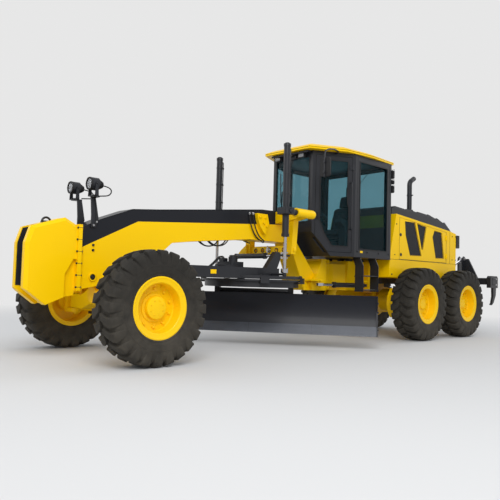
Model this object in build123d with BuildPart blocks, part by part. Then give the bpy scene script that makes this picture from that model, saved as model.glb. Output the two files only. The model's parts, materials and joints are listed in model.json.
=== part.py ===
"""Motor grader: articulated frame, six wheels, drawbar, geared circle and moldboard, cab and rear ripper.

Millimetres, +Z up, -Y ahead, +X the machine's left. Lengths along Y run rearwards from the front axle.
"""

import os
from math import cos, hypot, pi, radians, sin, sqrt

from build123d import *

os.makedirs("parts", exist_ok=True)

# ---------------------------------------------------------------- driving dimensions
front_axle_y = -4080
wheelbase = 6550
tandem_spacing = 1540
half_track = 1070
pivot_y = 4300

tyre_r = 660
tyre_half = 215
rim_r = 318
rim_half = 178
flange_r = 356
lug_count = 24
lug_height = 34
lug_width = 104
spindle_r = 60
hub_clearance = 0.1

kingpin_x = 790
kingpin_r = 30
steer_arm = (735, 225)

frame_half = 170
ball_y, ball_z, ball_r = 640, 1000, 62
circle_y, circle_r, circle_top = 2560, 740, 1020
circle_teeth, pinion_teeth, tooth_module = 64, 12, 20
blade_angle = 37.8
blade_half, blade_low, blade_high = 1960, 200, 810
blade_middle = -22.5

lift_x, lift_y, yoke_z, lift_pin_z = 780, 2480, 2040, 1100
arm_tube_r, arm_tube_front, yoke_shaft_r = 68, 2700, 45
side_shift_barrel_pin, side_shift_rod_pin = (-630, 2790, 1400), (480, 2790, 1400)

cab_front, cab_corner, cab_rear = 3450, 4150, 5230
cab_front_half, cab_half = 450, 800
cab_floor, sill_z, cab_top = 1440, 1500, 3180
wall = 50

hood_front, hood_rear, hood_half = 5270, 7870, 750
hood_low, hood_bend, hood_rear_top = 1130, (7560, 2140), 2090
hood_shoulder = (5490, 2310)

rail_in, rail_out = 300, 400
ripper_pivot = (8040, 1010)
ripper_beam_y, ripper_beam_z = 9060, 1130
ripper_cylinder_x = 250
ripper_barrel_pin = (ripper_cylinder_x, 8150, 1300)
ripper_rod_pin = (ripper_cylinder_x, 9050, 1620)


# ---------------------------------------------------------------- planes and shared forms
def side(x=0):
    """Plane of a side outline at x: local x runs rearwards, local y up, and it is extruded towards +X."""
    return Plane(origin=(x, front_axle_y, 0), x_dir=(0, 1, 0), z_dir=(1, 0, 0))


def plan(z=0):
    """Plane of a plan outline at height z."""
    return Plane(origin=(0, front_axle_y, z), x_dir=(1, 0, 0), z_dir=(0, 0, 1))


def across(y):
    """Plane of a section across the machine at y: local x to the left, local y up, extruded forwards."""
    return Plane(origin=(0, front_axle_y + y, 0), x_dir=(1, 0, 0), z_dir=(0, -1, 0))


def at(x, y, z):
    """A point measured from the front axle."""
    return Location((x, front_axle_y + y, z))


def outline(points):
    """Straight-sided face through the points, in the sketch that calls it."""
    Polygon(*points, align=None)


def write(piece, label):
    """Labels a finished piece and writes its STEP."""
    piece.part.label = label
    export_step(piece.part, f"parts/{label}.step")


def write_copy(shape, label):
    """Labels and writes a placed copy of a finished form."""
    shape.label = label
    export_step(shape, f"parts/{label}.step")


def write_pair(left_piece, name):
    """Writes the left piece and its mirror image."""
    write(left_piece, f"{name}_left")
    write_copy(left_piece.part.mirror(Plane.YZ), f"{name}_right")


# ---------------------------------------------------------------- tyre and wheel
lug_pitch = 360 / lug_count
tread_half, tread_r = tyre_half - 65, tyre_r - lug_height
shoulder_half, shoulder_r = tyre_half - 17, tyre_r - 66
lug_slant = 30
lug_inner, lug_outer = 12, tyre_half - 8
lug_root = tread_r - 30
lug_top = sqrt(tyre_r**2 - (lug_width / 2 + lug_slant) ** 2)

with BuildPart() as tyre:
    # Carcass from bead to bead, local x along the axle and local y the radius.
    with BuildSketch(Plane.XY):
        with BuildLine():
            Polyline((-rim_half, flange_r), (-rim_half, rim_r), (rim_half, rim_r), (rim_half, flange_r))
            ThreePointArc((rim_half, flange_r), (tyre_half, 480), (shoulder_half, shoulder_r))
            Polyline((shoulder_half, shoulder_r), (tread_half, tread_r), (-tread_half, tread_r),
                     (-shoulder_half, shoulder_r))
            ThreePointArc((-shoulder_half, shoulder_r), (-tyre_half, 480), (-rim_half, flange_r))
        make_face()
    revolve(axis=Axis.X)
    # Two staggered rows of lugs from beside the centre line out over the shoulder, which leads at the top.
    for row in (-1, 1):
        for number in range(lug_count):
            turn = (number + (row + 1) / 4) * lug_pitch
            with BuildSketch(Plane.XY.rotated((turn, 0, 0)).offset(lug_root)):
                outline(
                    [
                        (row * lug_inner, lug_slant - lug_width / 2),
                        (row * lug_outer, -lug_slant - lug_width / 2),
                        (row * lug_outer, -lug_slant + lug_width / 2),
                        (row * lug_inner, lug_slant + lug_width / 2),
                    ]
                )
            extrude(amount=lug_top - lug_root)

disc_out, hub_r, hub_out = 40, 135, 112
with BuildPart() as wheel:
    # Half section: outer lip ring, deep dish, disc and hub outboard, then the bore for the spindle.
    with BuildSketch(Plane.XY):
        outline(
            [
                (190, flange_r),
                (rim_half, flange_r),
                (rim_half, rim_r),
                (-rim_half, rim_r),
                (-rim_half, flange_r),
                (-190, flange_r),
                (-190, 300),
                (10, 286),
                (10, 165),
                (-70, 150),
                (-70, spindle_r + hub_clearance),
                (62, spindle_r + hub_clearance),
                (62, 0),
                (hub_out, 0),
                (hub_out, hub_r - 20),
                (hub_out - 20, hub_r),
                (disc_out, hub_r + 20),
                (disc_out, 258),
                (disc_out + 25, 272),
                (170, 284),
                (190, 300),
            ]
        )
    revolve(axis=Axis.X)
    # Wheel nuts.
    with BuildSketch(Plane.YZ.offset(disc_out - 4)):
        with PolarLocations(205, 10):
            RegularPolygon(18, 6)
    extrude(amount=20)

wheel_stations = [
    # name, y of the axle
    ("front", 0),
    ("mid", wheelbase - tandem_spacing / 2),
    ("rear", wheelbase + tandem_spacing / 2),
]
for station, y in wheel_stations:
    for hand, sign in (("left", 1), ("right", -1)):
        for name, form in (("tyre", tyre), ("wheel", wheel)):
            body = form.part if sign > 0 else form.part.mirror(Plane.YZ)
            write_copy(body.moved(at(sign * half_track, y, tyre_r)), f"{name}_{station}_{hand}")


# ---------------------------------------------------------------- front axle and steering
with BuildPart() as front_axle:
    # Arched beam, lowest at the ends, with the centre pin's housing under the nose.
    with BuildSketch(across(75)):
        outline(
            [
                (-660, 575), (-500, 560), (-240, 640), (240, 640), (500, 560), (660, 575),
                (660, 745), (500, 745), (260, 850), (-260, 850), (-500, 745), (-660, 745),
            ]
        )
    extrude(amount=150)
    with BuildSketch(across(190)):
        with Locations((0, 770)):
            Circle(105)
    extrude(amount=380)
    # Bosses that the kingpins pass through.
    for sign in (-1, 1):
        with BuildSketch(plan(565)):
            with BuildLine():
                Polyline((600 * sign, -75), (kingpin_x * sign, -68), (kingpin_x * sign, 68),
                         (600 * sign, 75), close=True)
            make_face()
            with Locations((sign * kingpin_x, 0)):
                Circle(68)
                Circle(kingpin_r + 0.1, mode=Mode.SUBTRACT)
        extrude(amount=190)
write(front_axle, "front_axle")

with BuildPart() as knuckle:
    # Two ears over and under the axle's boss, joined outboard by the plate that carries the spindle.
    for low in (500, 763):
        with BuildSketch(plan(low)):
            outline([(kingpin_x, -72), (925, -90), (925, 90), (kingpin_x, 72)])
            with Locations((kingpin_x, 0)):
                Circle(72)
        extrude(amount=57)
    with BuildSketch(side(868)):
        with Locations((0, tyre_r)):
            RectangleRounded(200, 320, 40)
    extrude(amount=57)
    with BuildSketch(side(920)):
        with Locations((0, tyre_r)):
            Circle(spindle_r)
    extrude(amount=half_track + 57 - 920)
    with BuildSketch(plan(480)):
        with Locations((kingpin_x, 0)):
            Circle(kingpin_r)
    extrude(amount=360)
    # Steering arm, back and inboard to the tie rod's eye.
    with BuildSketch(plan(520)):
        outline([(770, 40), (815, 70), (765, steer_arm[1]), (705, steer_arm[1])])
        with Locations(steer_arm):
            Circle(34)
    extrude(amount=30)
    with BuildSketch(plan(470)):
        with Locations(steer_arm):
            Circle(16)
    extrude(amount=60)
write_pair(knuckle, "steering_knuckle")

fork_slot = 54
with BuildPart() as tie_rod:
    with BuildSketch(plan(476)):
        with Locations(steer_arm):
            Circle(34)
            Circle(16.3, mode=Mode.SUBTRACT)
    extrude(amount=38)
    # The right end is a fork, open outwards.
    with BuildSketch(plan(476)):
        with Locations((-steer_arm[0] + 30, steer_arm[1])):
            Rectangle(150, fork_slot + 30)
        with Locations((-steer_arm[0] - 10, steer_arm[1])):
            SlotOverall(120, fork_slot, mode=Mode.SUBTRACT)
        with Locations((-steer_arm[0] - 45, steer_arm[1])):
            Rectangle(90, fork_slot, mode=Mode.SUBTRACT)
    extrude(amount=38)
    with BuildSketch(side(-steer_arm[0] + 100)):
        with Locations((steer_arm[1], 495)):
            Circle(19)
    extrude(amount=2 * steer_arm[0] - 100 - 30)
write(tie_rod, "tie_rod")


# ---------------------------------------------------------------- front frame and its weight
with BuildPart() as front_frame:
    # Gooseneck box, from the bolted nose over the front axle, over the circle, then down to the hitch.
    with BuildSketch(side(-frame_half)):
        outline(
            [
                (-450, 830), (-200, 878), (380, 885), (560, 1200), (886, 1477), (1244, 1522),
                (2340, 1628), (3235, 1628), (3617, 860), (4110, 860), (4110, 1400), (4040, 1400),
                (3880, 1120), (3370, 1690), (3255, 2020), (3160, 2130), (2580, 2118), (670, 1914),
                (256, 1876), (-200, 1700), (-450, 1575),
            ]
        )
    extrude(amount=2 * frame_half)
    # Cheek plates that widen the box at the hitch, and the two lugs round the pivot pin.
    for low in (875, 1345):
        with BuildSketch(plan(low)):
            outline([(-240, 3980), (240, 3980), (120, pivot_y), (-120, pivot_y)])
            with Locations((0, pivot_y)):
                Circle(120)
                Circle(45.1, mode=Mode.SUBTRACT)
        extrude(amount=60)
    with BuildSketch(side(-240)):
        outline([(3760, 860), (4110, 860), (4110, 1405), (4000, 1405), (3860, 1130), (3700, 1000)])
    extrude(amount=480)
    # Socket of the drawbar's ball, on two brackets under the nose.
    with BuildSketch(side(-110)):
        outline([(300, 890), (400, 1140), (ball_y, 1140), (ball_y, ball_z + 82), (524, ball_z + 82),
                 (508, 890)])
    extrude(amount=220)
    with BuildSketch(plan(ball_z + 82)):
        with Locations((0, ball_y)):
            Circle(95)
    extrude(amount=58)
    with BuildSketch(plan(ball_z)):
        with Locations((0, ball_y)):
            Circle(30)
    extrude(amount=90)
    # Saddle ears beside the box, and the arms that carry the lift cylinders' pivot tubes.
    for sign in (-1, 1):
        with BuildSketch(side(sign * (frame_half + 35) - 35)):
            with BuildLine():
                Polyline((2420, 2040), (2640, 2040), (2680, 1900), (2600, 1720))
                ThreePointArc((2600, 1720), (2480, 1860), (2420, 2040))
            make_face()
        extrude(amount=70)
        with BuildSketch(across(3050)):
            outline(
                [
                    (sign * frame_half, 1920), (sign * 560, 1960), (sign * 728, 1995), (sign * 728, 2085),
                    (sign * 560, 2110), (sign * frame_half, 2110),
                ]
            )
        extrude(amount=170)
        # Tube with a domed rear end, bored from the front for the yoke's shaft.
        with BuildSketch(across(3065)):
            with Locations((sign * lift_x, yoke_z)):
                Circle(arm_tube_r)
        extrude(amount=3065 - arm_tube_front)
        with Locations(at(sign * lift_x, 3065, yoke_z)):
            Sphere(arm_tube_r)
        with BuildSketch(across(3045)):
            with Locations((sign * lift_x, yoke_z)):
                Circle(yoke_shaft_r + 0.2)
        extrude(amount=3045 - arm_tube_front, mode=Mode.SUBTRACT)
        # Leg from the arm down to the link bar.
        with BuildSketch(across(3010)):
            outline([(sign * 420, 1430), (sign * 520, 1430), (sign * 560, 2000), (sign * 430, 2000)])
        extrude(amount=110)
    # Link bar with its row of lock-pin holes.
    with BuildSketch(across(3000)):
        with Locations((0, 1500)):
            SlotOverall(1080, 130)
            with GridLocations(160, 1, 5, 1):
                Circle(26, mode=Mode.SUBTRACT)
    extrude(amount=60)
    # Lug for the side-shift cylinder, on the right leg.
    with BuildSketch(across(2905)):
        outline([(-470, 1440), (-470, 1600), (-600, 1510), (-680, 1440), (-680, 1368), (-560, 1368)])
    extrude(amount=45)
    with BuildSketch(across(2880)):
        with Locations((side_shift_barrel_pin[0], side_shift_barrel_pin[2])):
            Circle(22)
    extrude(amount=140)
    # Lugs for the articulation cylinders' rods.
    for sign in (-1, 1):
        with BuildSketch(plan(1022)):
            outline([(sign * 160, 3620), (sign * 445, 3720), (sign * 445, 3800), (sign * 160, 3900)])
        extrude(amount=28)
        with BuildSketch(plan(930)):
            with Locations((sign * 400, 3760)):
                Circle(20)
        extrude(amount=100)
write(front_frame, "front_frame")

block_half = 195
groove_half, groove_depth = 95, 75
block_outline = [
    (-1110, 840), (-1110, 1360), (-1050, 1550), (-650, 1680), (-500, 1600),
    (-500, 760), (-640, 740), (-860, 650),
]
with BuildPart() as push_block:
    # Two thick half plates with a deep groove between them, on a bolted flange.
    with BuildSketch(side(-block_half)):
        outline(block_outline)
    extrude(amount=2 * block_half)
    side_edges = push_block.faces().filter_by(Axis.X).edges()
    front_edges = side_edges.filter_by(lambda edge: edge.center().Y < front_axle_y - 560)
    chamfer(front_edges.filter_by(lambda edge: edge.center().Z > 760), length=38)
    with BuildSketch(side(-groove_half)):
        outline([(-1300, 500), (-1300, 1620), (-1000, 1720), (-940, 1560), (-1110 + groove_depth, 1340),
                 (-1110 + groove_depth, 860), (-880, 760), (-780, 560)])
    extrude(amount=2 * groove_half, mode=Mode.SUBTRACT)
    with BuildSketch(side(-block_half - 25)):
        outline([(-500, 815), (-450, 815), (-450, 1610), (-500, 1610)])
    extrude(amount=2 * block_half + 50)
    # Recess at the lower rear of each side.
    for sign in (-1, 1):
        with BuildSketch(side(sign * (block_half - 15) - 30)):
            outline([(-640, 740), (-640, 1010), (-540, 1190), (-500, 1190), (-500, 740)])
        extrude(amount=60, mode=Mode.SUBTRACT)
write(push_block, "push_block")

with BuildPart() as nose_lamps:
    # Bent flat posts with a round lamp on a bracket; the two don't touch.
    for sign in (-1, 1):
        with BuildSketch(side(sign * 182 - 10)):
            outline([(-330, 1590), (-270, 1590), (-235, 1700), (-285, 1960), (-345, 1960), (-330, 1750)])
        extrude(amount=20)
        with BuildSketch(plan(1950)):
            outline([(sign * 172, -350), (sign * 300, -370), (sign * 300, -290), (sign * 172, -280)])
        extrude(amount=12)
        with BuildSketch(across(-290)):
            with Locations((sign * 250, 2060)):
                Rectangle(20, 210)
        extrude(amount=30)
        with BuildSketch(across(-300)):
            with Locations((sign * 250, 2110)):
                Circle(78)
        extrude(amount=95)
        with BuildSketch(across(-270)):
            with Locations((sign * 250, 2110)):
                Circle(52)
        extrude(amount=60)
write(nose_lamps, "nose_lamps")


# ---------------------------------------------------------------- hydraulic cylinders
def cylinder_plane(start, end, pin_axis):
    """Plane at start whose normal runs to end and whose local x is the pins' axis."""
    origin = Vector(start[0], front_axle_y + start[1], start[2])
    target = Vector(end[0], front_axle_y + end[1], end[2])
    return Plane(origin=origin, x_dir=pin_axis, z_dir=target - origin)


def eye(plane, station, outer, bore, width, slot=0.1):
    """An eye about the pin at station along the cylinder, drawn out by slot along the cylinder."""
    ring_plane = Plane(origin=plane.origin + plane.z_dir * station, x_dir=plane.z_dir, z_dir=plane.x_dir)
    with BuildSketch(ring_plane.offset(-width / 2)) as ring:
        SlotCenterToCenter(slot, 2 * outer)
        SlotCenterToCenter(slot, 2 * bore, mode=Mode.SUBTRACT)
    extrude(ring.sketch, amount=width)


def barrel_body(plane, barrel_r, rod_r, length, start=0):
    """Barrel from start to length, bored from its mouth for the rod, with a gland ring."""
    with BuildSketch(plane.offset(start)) as tube:
        Circle(barrel_r)
    extrude(tube.sketch, amount=length - start)
    with BuildSketch(plane.offset(length - 45)) as gland:
        Circle(barrel_r + 9)
    extrude(gland.sketch, amount=45)
    with BuildSketch(plane.offset(start + 40)) as bore:
        Circle(rod_r + 0.3)
    extrude(bore.sketch, amount=length - start, mode=Mode.SUBTRACT)


def rod_body(plane, rod_r, first, last):
    """Rod between two stations along its cylinder."""
    with BuildSketch(plane.offset(first)) as section:
        Circle(rod_r)
    extrude(section.sketch, amount=last - first)


# The two lift cylinders: barrel held at its middle in a yoke, rod down onto a ball on the drawbar.
lift_top = 3050
lift_plane = cylinder_plane((lift_x, lift_y, lift_top), (lift_x, lift_y, lift_pin_z), (1, 0, 0))
lift_barrel_r, lift_rod_r = 50, 24
lift_barrel_length = 1390
lift_ball_r = 36
trunnion_r = 20
with BuildPart() as lift_barrel:
    with BuildSketch(plan(yoke_z - 45)):
        with Locations((lift_x, lift_y)):
            Circle(60)
    extrude(amount=90)
    with BuildSketch(side(lift_x - 95)):
        with Locations((lift_y, yoke_z)):
            Circle(trunnion_r)
    extrude(amount=190)
    barrel_body(lift_plane, lift_barrel_r, lift_rod_r, lift_barrel_length)
write_pair(lift_barrel, "lift_barrel")

with BuildPart() as lift_rod:
    rod_body(lift_plane, lift_rod_r, 520, lift_top - lift_pin_z - 70)
    # Seat on the ball's top, grooved fore and aft.
    with BuildSketch(lift_plane.offset(lift_top - lift_pin_z - 80)):
        Circle(55)
    extrude(amount=58)
    with BuildSketch(across(lift_y + 60)):
        with Locations((lift_x, lift_pin_z)):
            Circle(lift_ball_r + 4)
    extrude(amount=120, mode=Mode.SUBTRACT)
write_pair(lift_rod, "lift_rod")

with BuildPart() as lift_yoke:
    # Square collar round the barrel, with a shaft back into the arm's tube.
    with BuildSketch(plan(yoke_z - 50)):
        with Locations((lift_x, lift_y)):
            RectangleRounded(220, 190, 40)
            Circle(67, mode=Mode.SUBTRACT)
    extrude(amount=100)
    with BuildSketch(side(lift_x - 120)):
        with Locations((lift_y, yoke_z)):
            Circle(trunnion_r + 0.2)
    extrude(amount=240, mode=Mode.SUBTRACT)
    with BuildSketch(across(3040)):
        with Locations((lift_x, yoke_z)):
            Circle(yoke_shaft_r)
    extrude(amount=3040 - lift_y - 90)
write_pair(lift_yoke, "lift_yoke")

def pin_cylinder(barrel_pin, rod_pin, pin_axis, body_r, rod_r, length, rod_start, width, bore, slot):
    """Barrel with a round eye and rod with an eye slotted along the cylinder; returns both."""
    line = cylinder_plane(barrel_pin, rod_pin, pin_axis)
    reach = hypot(*(b - a for a, b in zip(barrel_pin, rod_pin)))
    with BuildPart() as barrel:
        eye(line, 0, 46, 22.3, width)
        barrel_body(line, body_r, rod_r, length, start=36)
    with BuildPart() as rod:
        rod_body(line, rod_r, rod_start, reach - slot / 2 - bore - 8)
        eye(line, reach, bore + 18, bore, 46, slot)
    return barrel, rod


articulation_barrel, articulation_rod = pin_cylinder(
    (440, 4960, 965), (400, 3760, 965), (0, 0, 1), body_r=42, rod_r=22, length=860, rod_start=400, width=50,
    bore=28, slot=70,
)
write_pair(articulation_barrel, "articulation_barrel")
write_pair(articulation_rod, "articulation_rod")

# The ripper's two cylinders work together.
ripper_cylinder = pin_cylinder(
    ripper_barrel_pin, ripper_rod_pin, (1, 0, 0), body_r=46, rod_r=25, length=550, rod_start=250, width=60,
    bore=31, slot=22,
)
for piece, label in zip(ripper_cylinder, ("ripper_barrel", "ripper_rod")):
    with BuildPart() as both:
        add(piece.part)
        mirror(about=Plane.YZ)
    write(both, label)

# Side-shift cylinder: level, its rod ending in a fork that is open towards the drawbar's post.
shift_line = cylinder_plane(side_shift_barrel_pin, side_shift_rod_pin, (0, 1, 0))
shift_reach = side_shift_rod_pin[0] - side_shift_barrel_pin[0]
shift_slot, prong, shift_rod_start = 64, 18, 382
with BuildPart() as side_shift_barrel:
    eye(shift_line, 0, 46, 22.3, 50)
    barrel_body(shift_line, 42, 21, 700, start=36)
write(side_shift_barrel, "side_shift_barrel")

with BuildPart() as side_shift_rod:
    rod_body(shift_line, 21, shift_rod_start, shift_reach - 40)
    with BuildSketch(across(side_shift_rod_pin[1] + 23)):
        with Locations((side_shift_rod_pin[0] - 4, side_shift_rod_pin[2])):
            Rectangle(108, shift_slot + 2 * prong)
        with Locations((side_shift_rod_pin[0] + 40, side_shift_rod_pin[2])):
            SlotOverall(156, shift_slot, mode=Mode.SUBTRACT)
    extrude(amount=46)
write(side_shift_rod, "side_shift_rod")


# ---------------------------------------------------------------- drawbar and circle
with BuildPart() as drawbar_ball:
    # Ball that swings in the frame's socket and pitches in the drawbar's eye.
    with Locations(at(0, ball_y, ball_z)):
        Sphere(ball_r)
    with BuildSketch(plan(ball_z)):
        with Locations((0, ball_y)):
            Circle(30.2)
    extrude(amount=ball_r + 1, mode=Mode.SUBTRACT)
write(drawbar_ball, "drawbar_ball")

beam_low, beam_high = 1030, 1190
pinion_offset = (circle_teeth - pinion_teeth) * tooth_module / 2
pinion_y = circle_y - pinion_offset
with BuildPart() as drawbar:
    # A-frame of two box beams from the ball's eye to the ring plate.
    for sign in (-1, 1):
        with BuildSketch(plan(beam_low)):
            outline([(sign * 30, 800), (sign * 150, 800), (sign * 520, 2170), (sign * 520, 2640),
                     (sign * 400, 2640), (sign * 400, 2230)])
        extrude(amount=beam_high - beam_low)
    with BuildSketch(side(-150)):
        outline([(ball_y, ball_z - 45), (820, ball_z - 45), (940, beam_low), (940, beam_high),
                 (850, beam_high),
                 (760, ball_z + 45), (ball_y, ball_z + 45)])
    extrude(amount=300)
    with BuildSketch(plan(ball_z - 45)):
        with Locations((0, ball_y)):
            Circle(105)
    extrude(amount=90)
    with Locations(at(0, ball_y, ball_z)):
        Sphere(ball_r + 0.3, mode=Mode.SUBTRACT)
    with BuildSketch(plan(ball_z + 20)):
        with Locations((0, ball_y)):
            Circle(62)
    extrude(amount=60, mode=Mode.SUBTRACT)
    # Ring plate over the circle, and the cross beam with the lift balls on its ends.
    with BuildSketch(plan(beam_low)):
        with Locations((0, circle_y)):
            Circle(800)
            Circle(600, mode=Mode.SUBTRACT)
    extrude(amount=45)
    with BuildSketch(plan(beam_low)):
        with Locations((0, lift_y)):
            Rectangle(1040, 200)
    extrude(amount=beam_high - beam_low)
    for sign in (-1, 1):
        with BuildSketch(side(sign * 620 - 160)):
            with Locations((lift_y, lift_pin_z)):
                Circle(18)
        extrude(amount=320)
        with Locations(at(sign * lift_x, lift_y, lift_pin_z)):
            Sphere(lift_ball_r)
    # Drive housing and its motor over the pinion.
    with BuildSketch(plan(beam_low)):
        with Locations((0, pinion_y)):
            Circle(190)
    extrude(amount=190)
    with BuildSketch(plan(1200)):
        with Locations((0, pinion_y + 60)):
            RectangleRounded(360, 260, 40)
    extrude(amount=75)
    with BuildSketch(plan(1270)):
        with Locations((60, pinion_y + 60)):
            Circle(70)
    extrude(amount=70)
    # Clamps that hook under the circle's flange.
    for turn in (30, 150, 210, 330):
        outwards = (cos(radians(turn)), sin(radians(turn)), 0)
        clamp = Plane(origin=(0, front_axle_y + circle_y, 0), x_dir=outwards)
        with BuildSketch(clamp.offset(962)):
            with Locations((813, 0)):
                Rectangle(46, 130)
        extrude(amount=90)
        with BuildSketch(clamp.offset(962)):
            with Locations((780, 0)):
                Rectangle(60, 130)
        extrude(amount=24)
    # Post and long pin for the side-shift cylinder's rod.
    with BuildSketch(side(430)):
        outline([(2360, 1180), (2590, 1180), (2660, 1330), (2660, 1425), (2630, 1445), (2570, 1445)])
    extrude(amount=90)
    with BuildSketch(across(2900)):
        with Locations((side_shift_rod_pin[0], side_shift_rod_pin[2])):
            Circle(16)
    extrude(amount=270)
write(drawbar, "drawbar")


def gear_teeth(count, root_r, tip_r, root_width, tip_width):
    """Adds straight-flanked teeth from root_r to tip_r round the sketch's centre."""
    with PolarLocations(0, count):
        outline([(root_r, -root_width / 2), (tip_r, -tip_width / 2), (tip_r, tip_width / 2),
                 (root_r, root_width / 2)])


ring_pitch_r = circle_teeth * tooth_module / 2
pinion_pitch_r = pinion_teeth * tooth_module / 2
tooth_width = pi * tooth_module / 2
with BuildPart() as circle_ring:
    # Ring with a thin outer flange at its top and teeth inside.
    with BuildSketch(plan(900)):
        with Locations((0, circle_y)):
            Circle(circle_r)
            Circle(ring_pitch_r + 1.15 * tooth_module, mode=Mode.SUBTRACT)
    extrude(amount=circle_top - 900)
    with BuildSketch(plan(circle_top - 30)):
        with Locations((0, circle_y)):
            Circle(785)
            Circle(circle_r - 10, mode=Mode.SUBTRACT)
    extrude(amount=30)
    with BuildSketch(plan(910)):
        with Locations((0, circle_y)):
            Circle(circle_r - 30)
            Circle(ring_pitch_r + 1.15 * tooth_module, mode=Mode.SUBTRACT)
            gear_teeth(circle_teeth, ring_pitch_r + 1.3 * tooth_module, ring_pitch_r - 0.8 * tooth_module,
                       tooth_width * 1.25, tooth_width * 0.55)
    extrude(amount=80)


def blade_plane(x=0):
    """Side plane in the blade's own direction: local x behind the blade, local y up."""
    turn = radians(blade_angle)
    along = (cos(turn), sin(turn), 0)
    behind = (-sin(turn), cos(turn), 0)
    return Plane(origin=(x * along[0], front_axle_y + circle_y + x * along[1], 0), x_dir=behind, z_dir=along)


tip_pivot = (215, 360)
with BuildPart() as circle:
    add(circle_ring.part)
    # Two side arms from under the ring down to the blade's pivots, braced by a tube.
    for x in (-640, 560):
        with BuildSketch(blade_plane(x)):
            outline([(200, 901), (330, 901), (310, 700), (275, 330), (tip_pivot[0], 300),
                     (tip_pivot[0] - 60, 360), (200, 640)])
            with Locations(tip_pivot):
                Circle(28.2, mode=Mode.SUBTRACT)
        extrude(amount=80)
    with BuildSketch(blade_plane(-600)):
        with Locations((300, 830)):
            Circle(45)
    extrude(amount=1200)
write(circle, "circle")

with BuildPart() as drive_pinion:
    with BuildSketch(plan(915)):
        with Locations((0, pinion_y)):
            Circle(pinion_pitch_r - 1.1 * tooth_module)
    extrude(amount=70)
    # Turned by half a pitch, so a gap meets the ring's tooth.
    tooth_ahead = Plane(origin=(0, front_axle_y + pinion_y, 915), x_dir=(0, -1, 0))
    with BuildSketch(tooth_ahead.rotated((0, 0, 180 / pinion_teeth))):
        gear_teeth(pinion_teeth, pinion_pitch_r - 1.4 * tooth_module, pinion_pitch_r + 0.8 * tooth_module,
                   tooth_width * 1.2, tooth_width * 0.5)
    extrude(amount=70)
    with BuildSketch(plan(985)):
        with Locations((0, pinion_y)):
            Circle(45)
    extrude(amount=40)
write(drive_pinion, "drive_pinion")


# ---------------------------------------------------------------- blade carrier and moldboard
rail_z = (430, 700)
with BuildPart() as blade_carrier:
    # Pivot tube between the arms, two bent brackets and the shoes that the blade's rails slide in.
    with BuildSketch(blade_plane(-650)):
        with Locations(tip_pivot):
            Circle(28)
    extrude(amount=1300)
    for x in (-530, 470):
        with BuildSketch(blade_plane(x)):
            outline([(150, 330), (tip_pivot[0] + 40, 330), (tip_pivot[0] + 40, 400), (180, 470), (170, 760),
                     (60, 760), (60, 731), (106, 731), (106, 399), (60, 399), (60, 372), (130, 372)])
        extrude(amount=60)
write(blade_carrier, "blade_carrier")

with BuildPart() as moldboard:
    # Curved plate, cutting edge, end plates and the two rails behind it.
    with BuildSketch(blade_plane(blade_middle - blade_half)):
        with BuildLine():
            ThreePointArc((-45, 300), (28, 560), (-10, blade_high))
            Line((-10, blade_high), (14, blade_high))
            ThreePointArc((14, blade_high), (50, 560), (-20, 292))
            Line((-20, 292), (-45, 300))
        make_face()
    extrude(amount=2 * blade_half)
    with BuildSketch(blade_plane(blade_middle - blade_half)):
        outline([(-112, blade_low), (-92, blade_low), (-14, 335), (-34, 345)])
    extrude(amount=2 * blade_half)
    for z in rail_z:
        with BuildSketch(blade_plane(-1350)):
            outline([(34, z - 25), (100, z - 25), (100, z + 25), (34, z + 25)])
        extrude(amount=2700)
    for x in (blade_middle - blade_half - 20, blade_middle + blade_half):
        with BuildSketch(blade_plane(x)):
            outline([(-118, blade_low), (-86, blade_low), (30, 330), (60, 560), (30, blade_high),
                     (-20, blade_high), (10, 560), (-50, 330)])
        extrude(amount=20)
write(moldboard, "moldboard")


# ---------------------------------------------------------------- rear frame, axle and engine
nose_half = 280
with BuildPart() as rear_frame:
    # Box behind the hitch, two rails with an upswept rear, cross members, and the nose round the pivot pin.
    with BuildSketch(plan(870)):
        outline([(-nose_half, 4660), (nose_half, 4660), (nose_half, 5240), (-nose_half, 5240)])
    extrude(amount=525)
    for x in (-rail_out, rail_in):
        with BuildSketch(side(x)):
            outline([(5140, 870), (5250, 870), (5480, 1120), (7880, 1120), (7880, 1395), (5140, 1395)])
        extrude(amount=rail_out - rail_in)
    for y, depth, low in [
        # rear face of the cross member, depth along y, lowest point
        (5240, 100, 900),
        (7150, 100, 1150),
        (7900, 60, 960),
    ]:
        with BuildSketch(across(y)):
            outline([(-rail_out, low), (rail_out, low), (rail_out, 1395), (-rail_out, 1395)])
        extrude(amount=depth)
    with BuildSketch(plan(945)):
        outline([(-95, pivot_y), (95, pivot_y), (95, 4480), (240, 4670), (-240, 4670), (-95, 4480)])
        with Locations((0, pivot_y)):
            Circle(110)
    extrude(amount=390)
    with BuildSketch(plan(865)):
        with Locations((0, pivot_y)):
            Circle(45)
    extrude(amount=550)
    # Lugs for the articulation cylinders' barrels.
    for sign in (-1, 1):
        with BuildSketch(plan(1022)):
            outline([(sign * 270, 4860), (sign * 485, 4910), (sign * 485, 5010), (sign * 270, 5060)])
        extrude(amount=28)
        with BuildSketch(plan(930)):
            with Locations((sign * 440, 4960)):
                Circle(22)
        extrude(amount=100)
write(rear_frame, "rear_frame")

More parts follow.
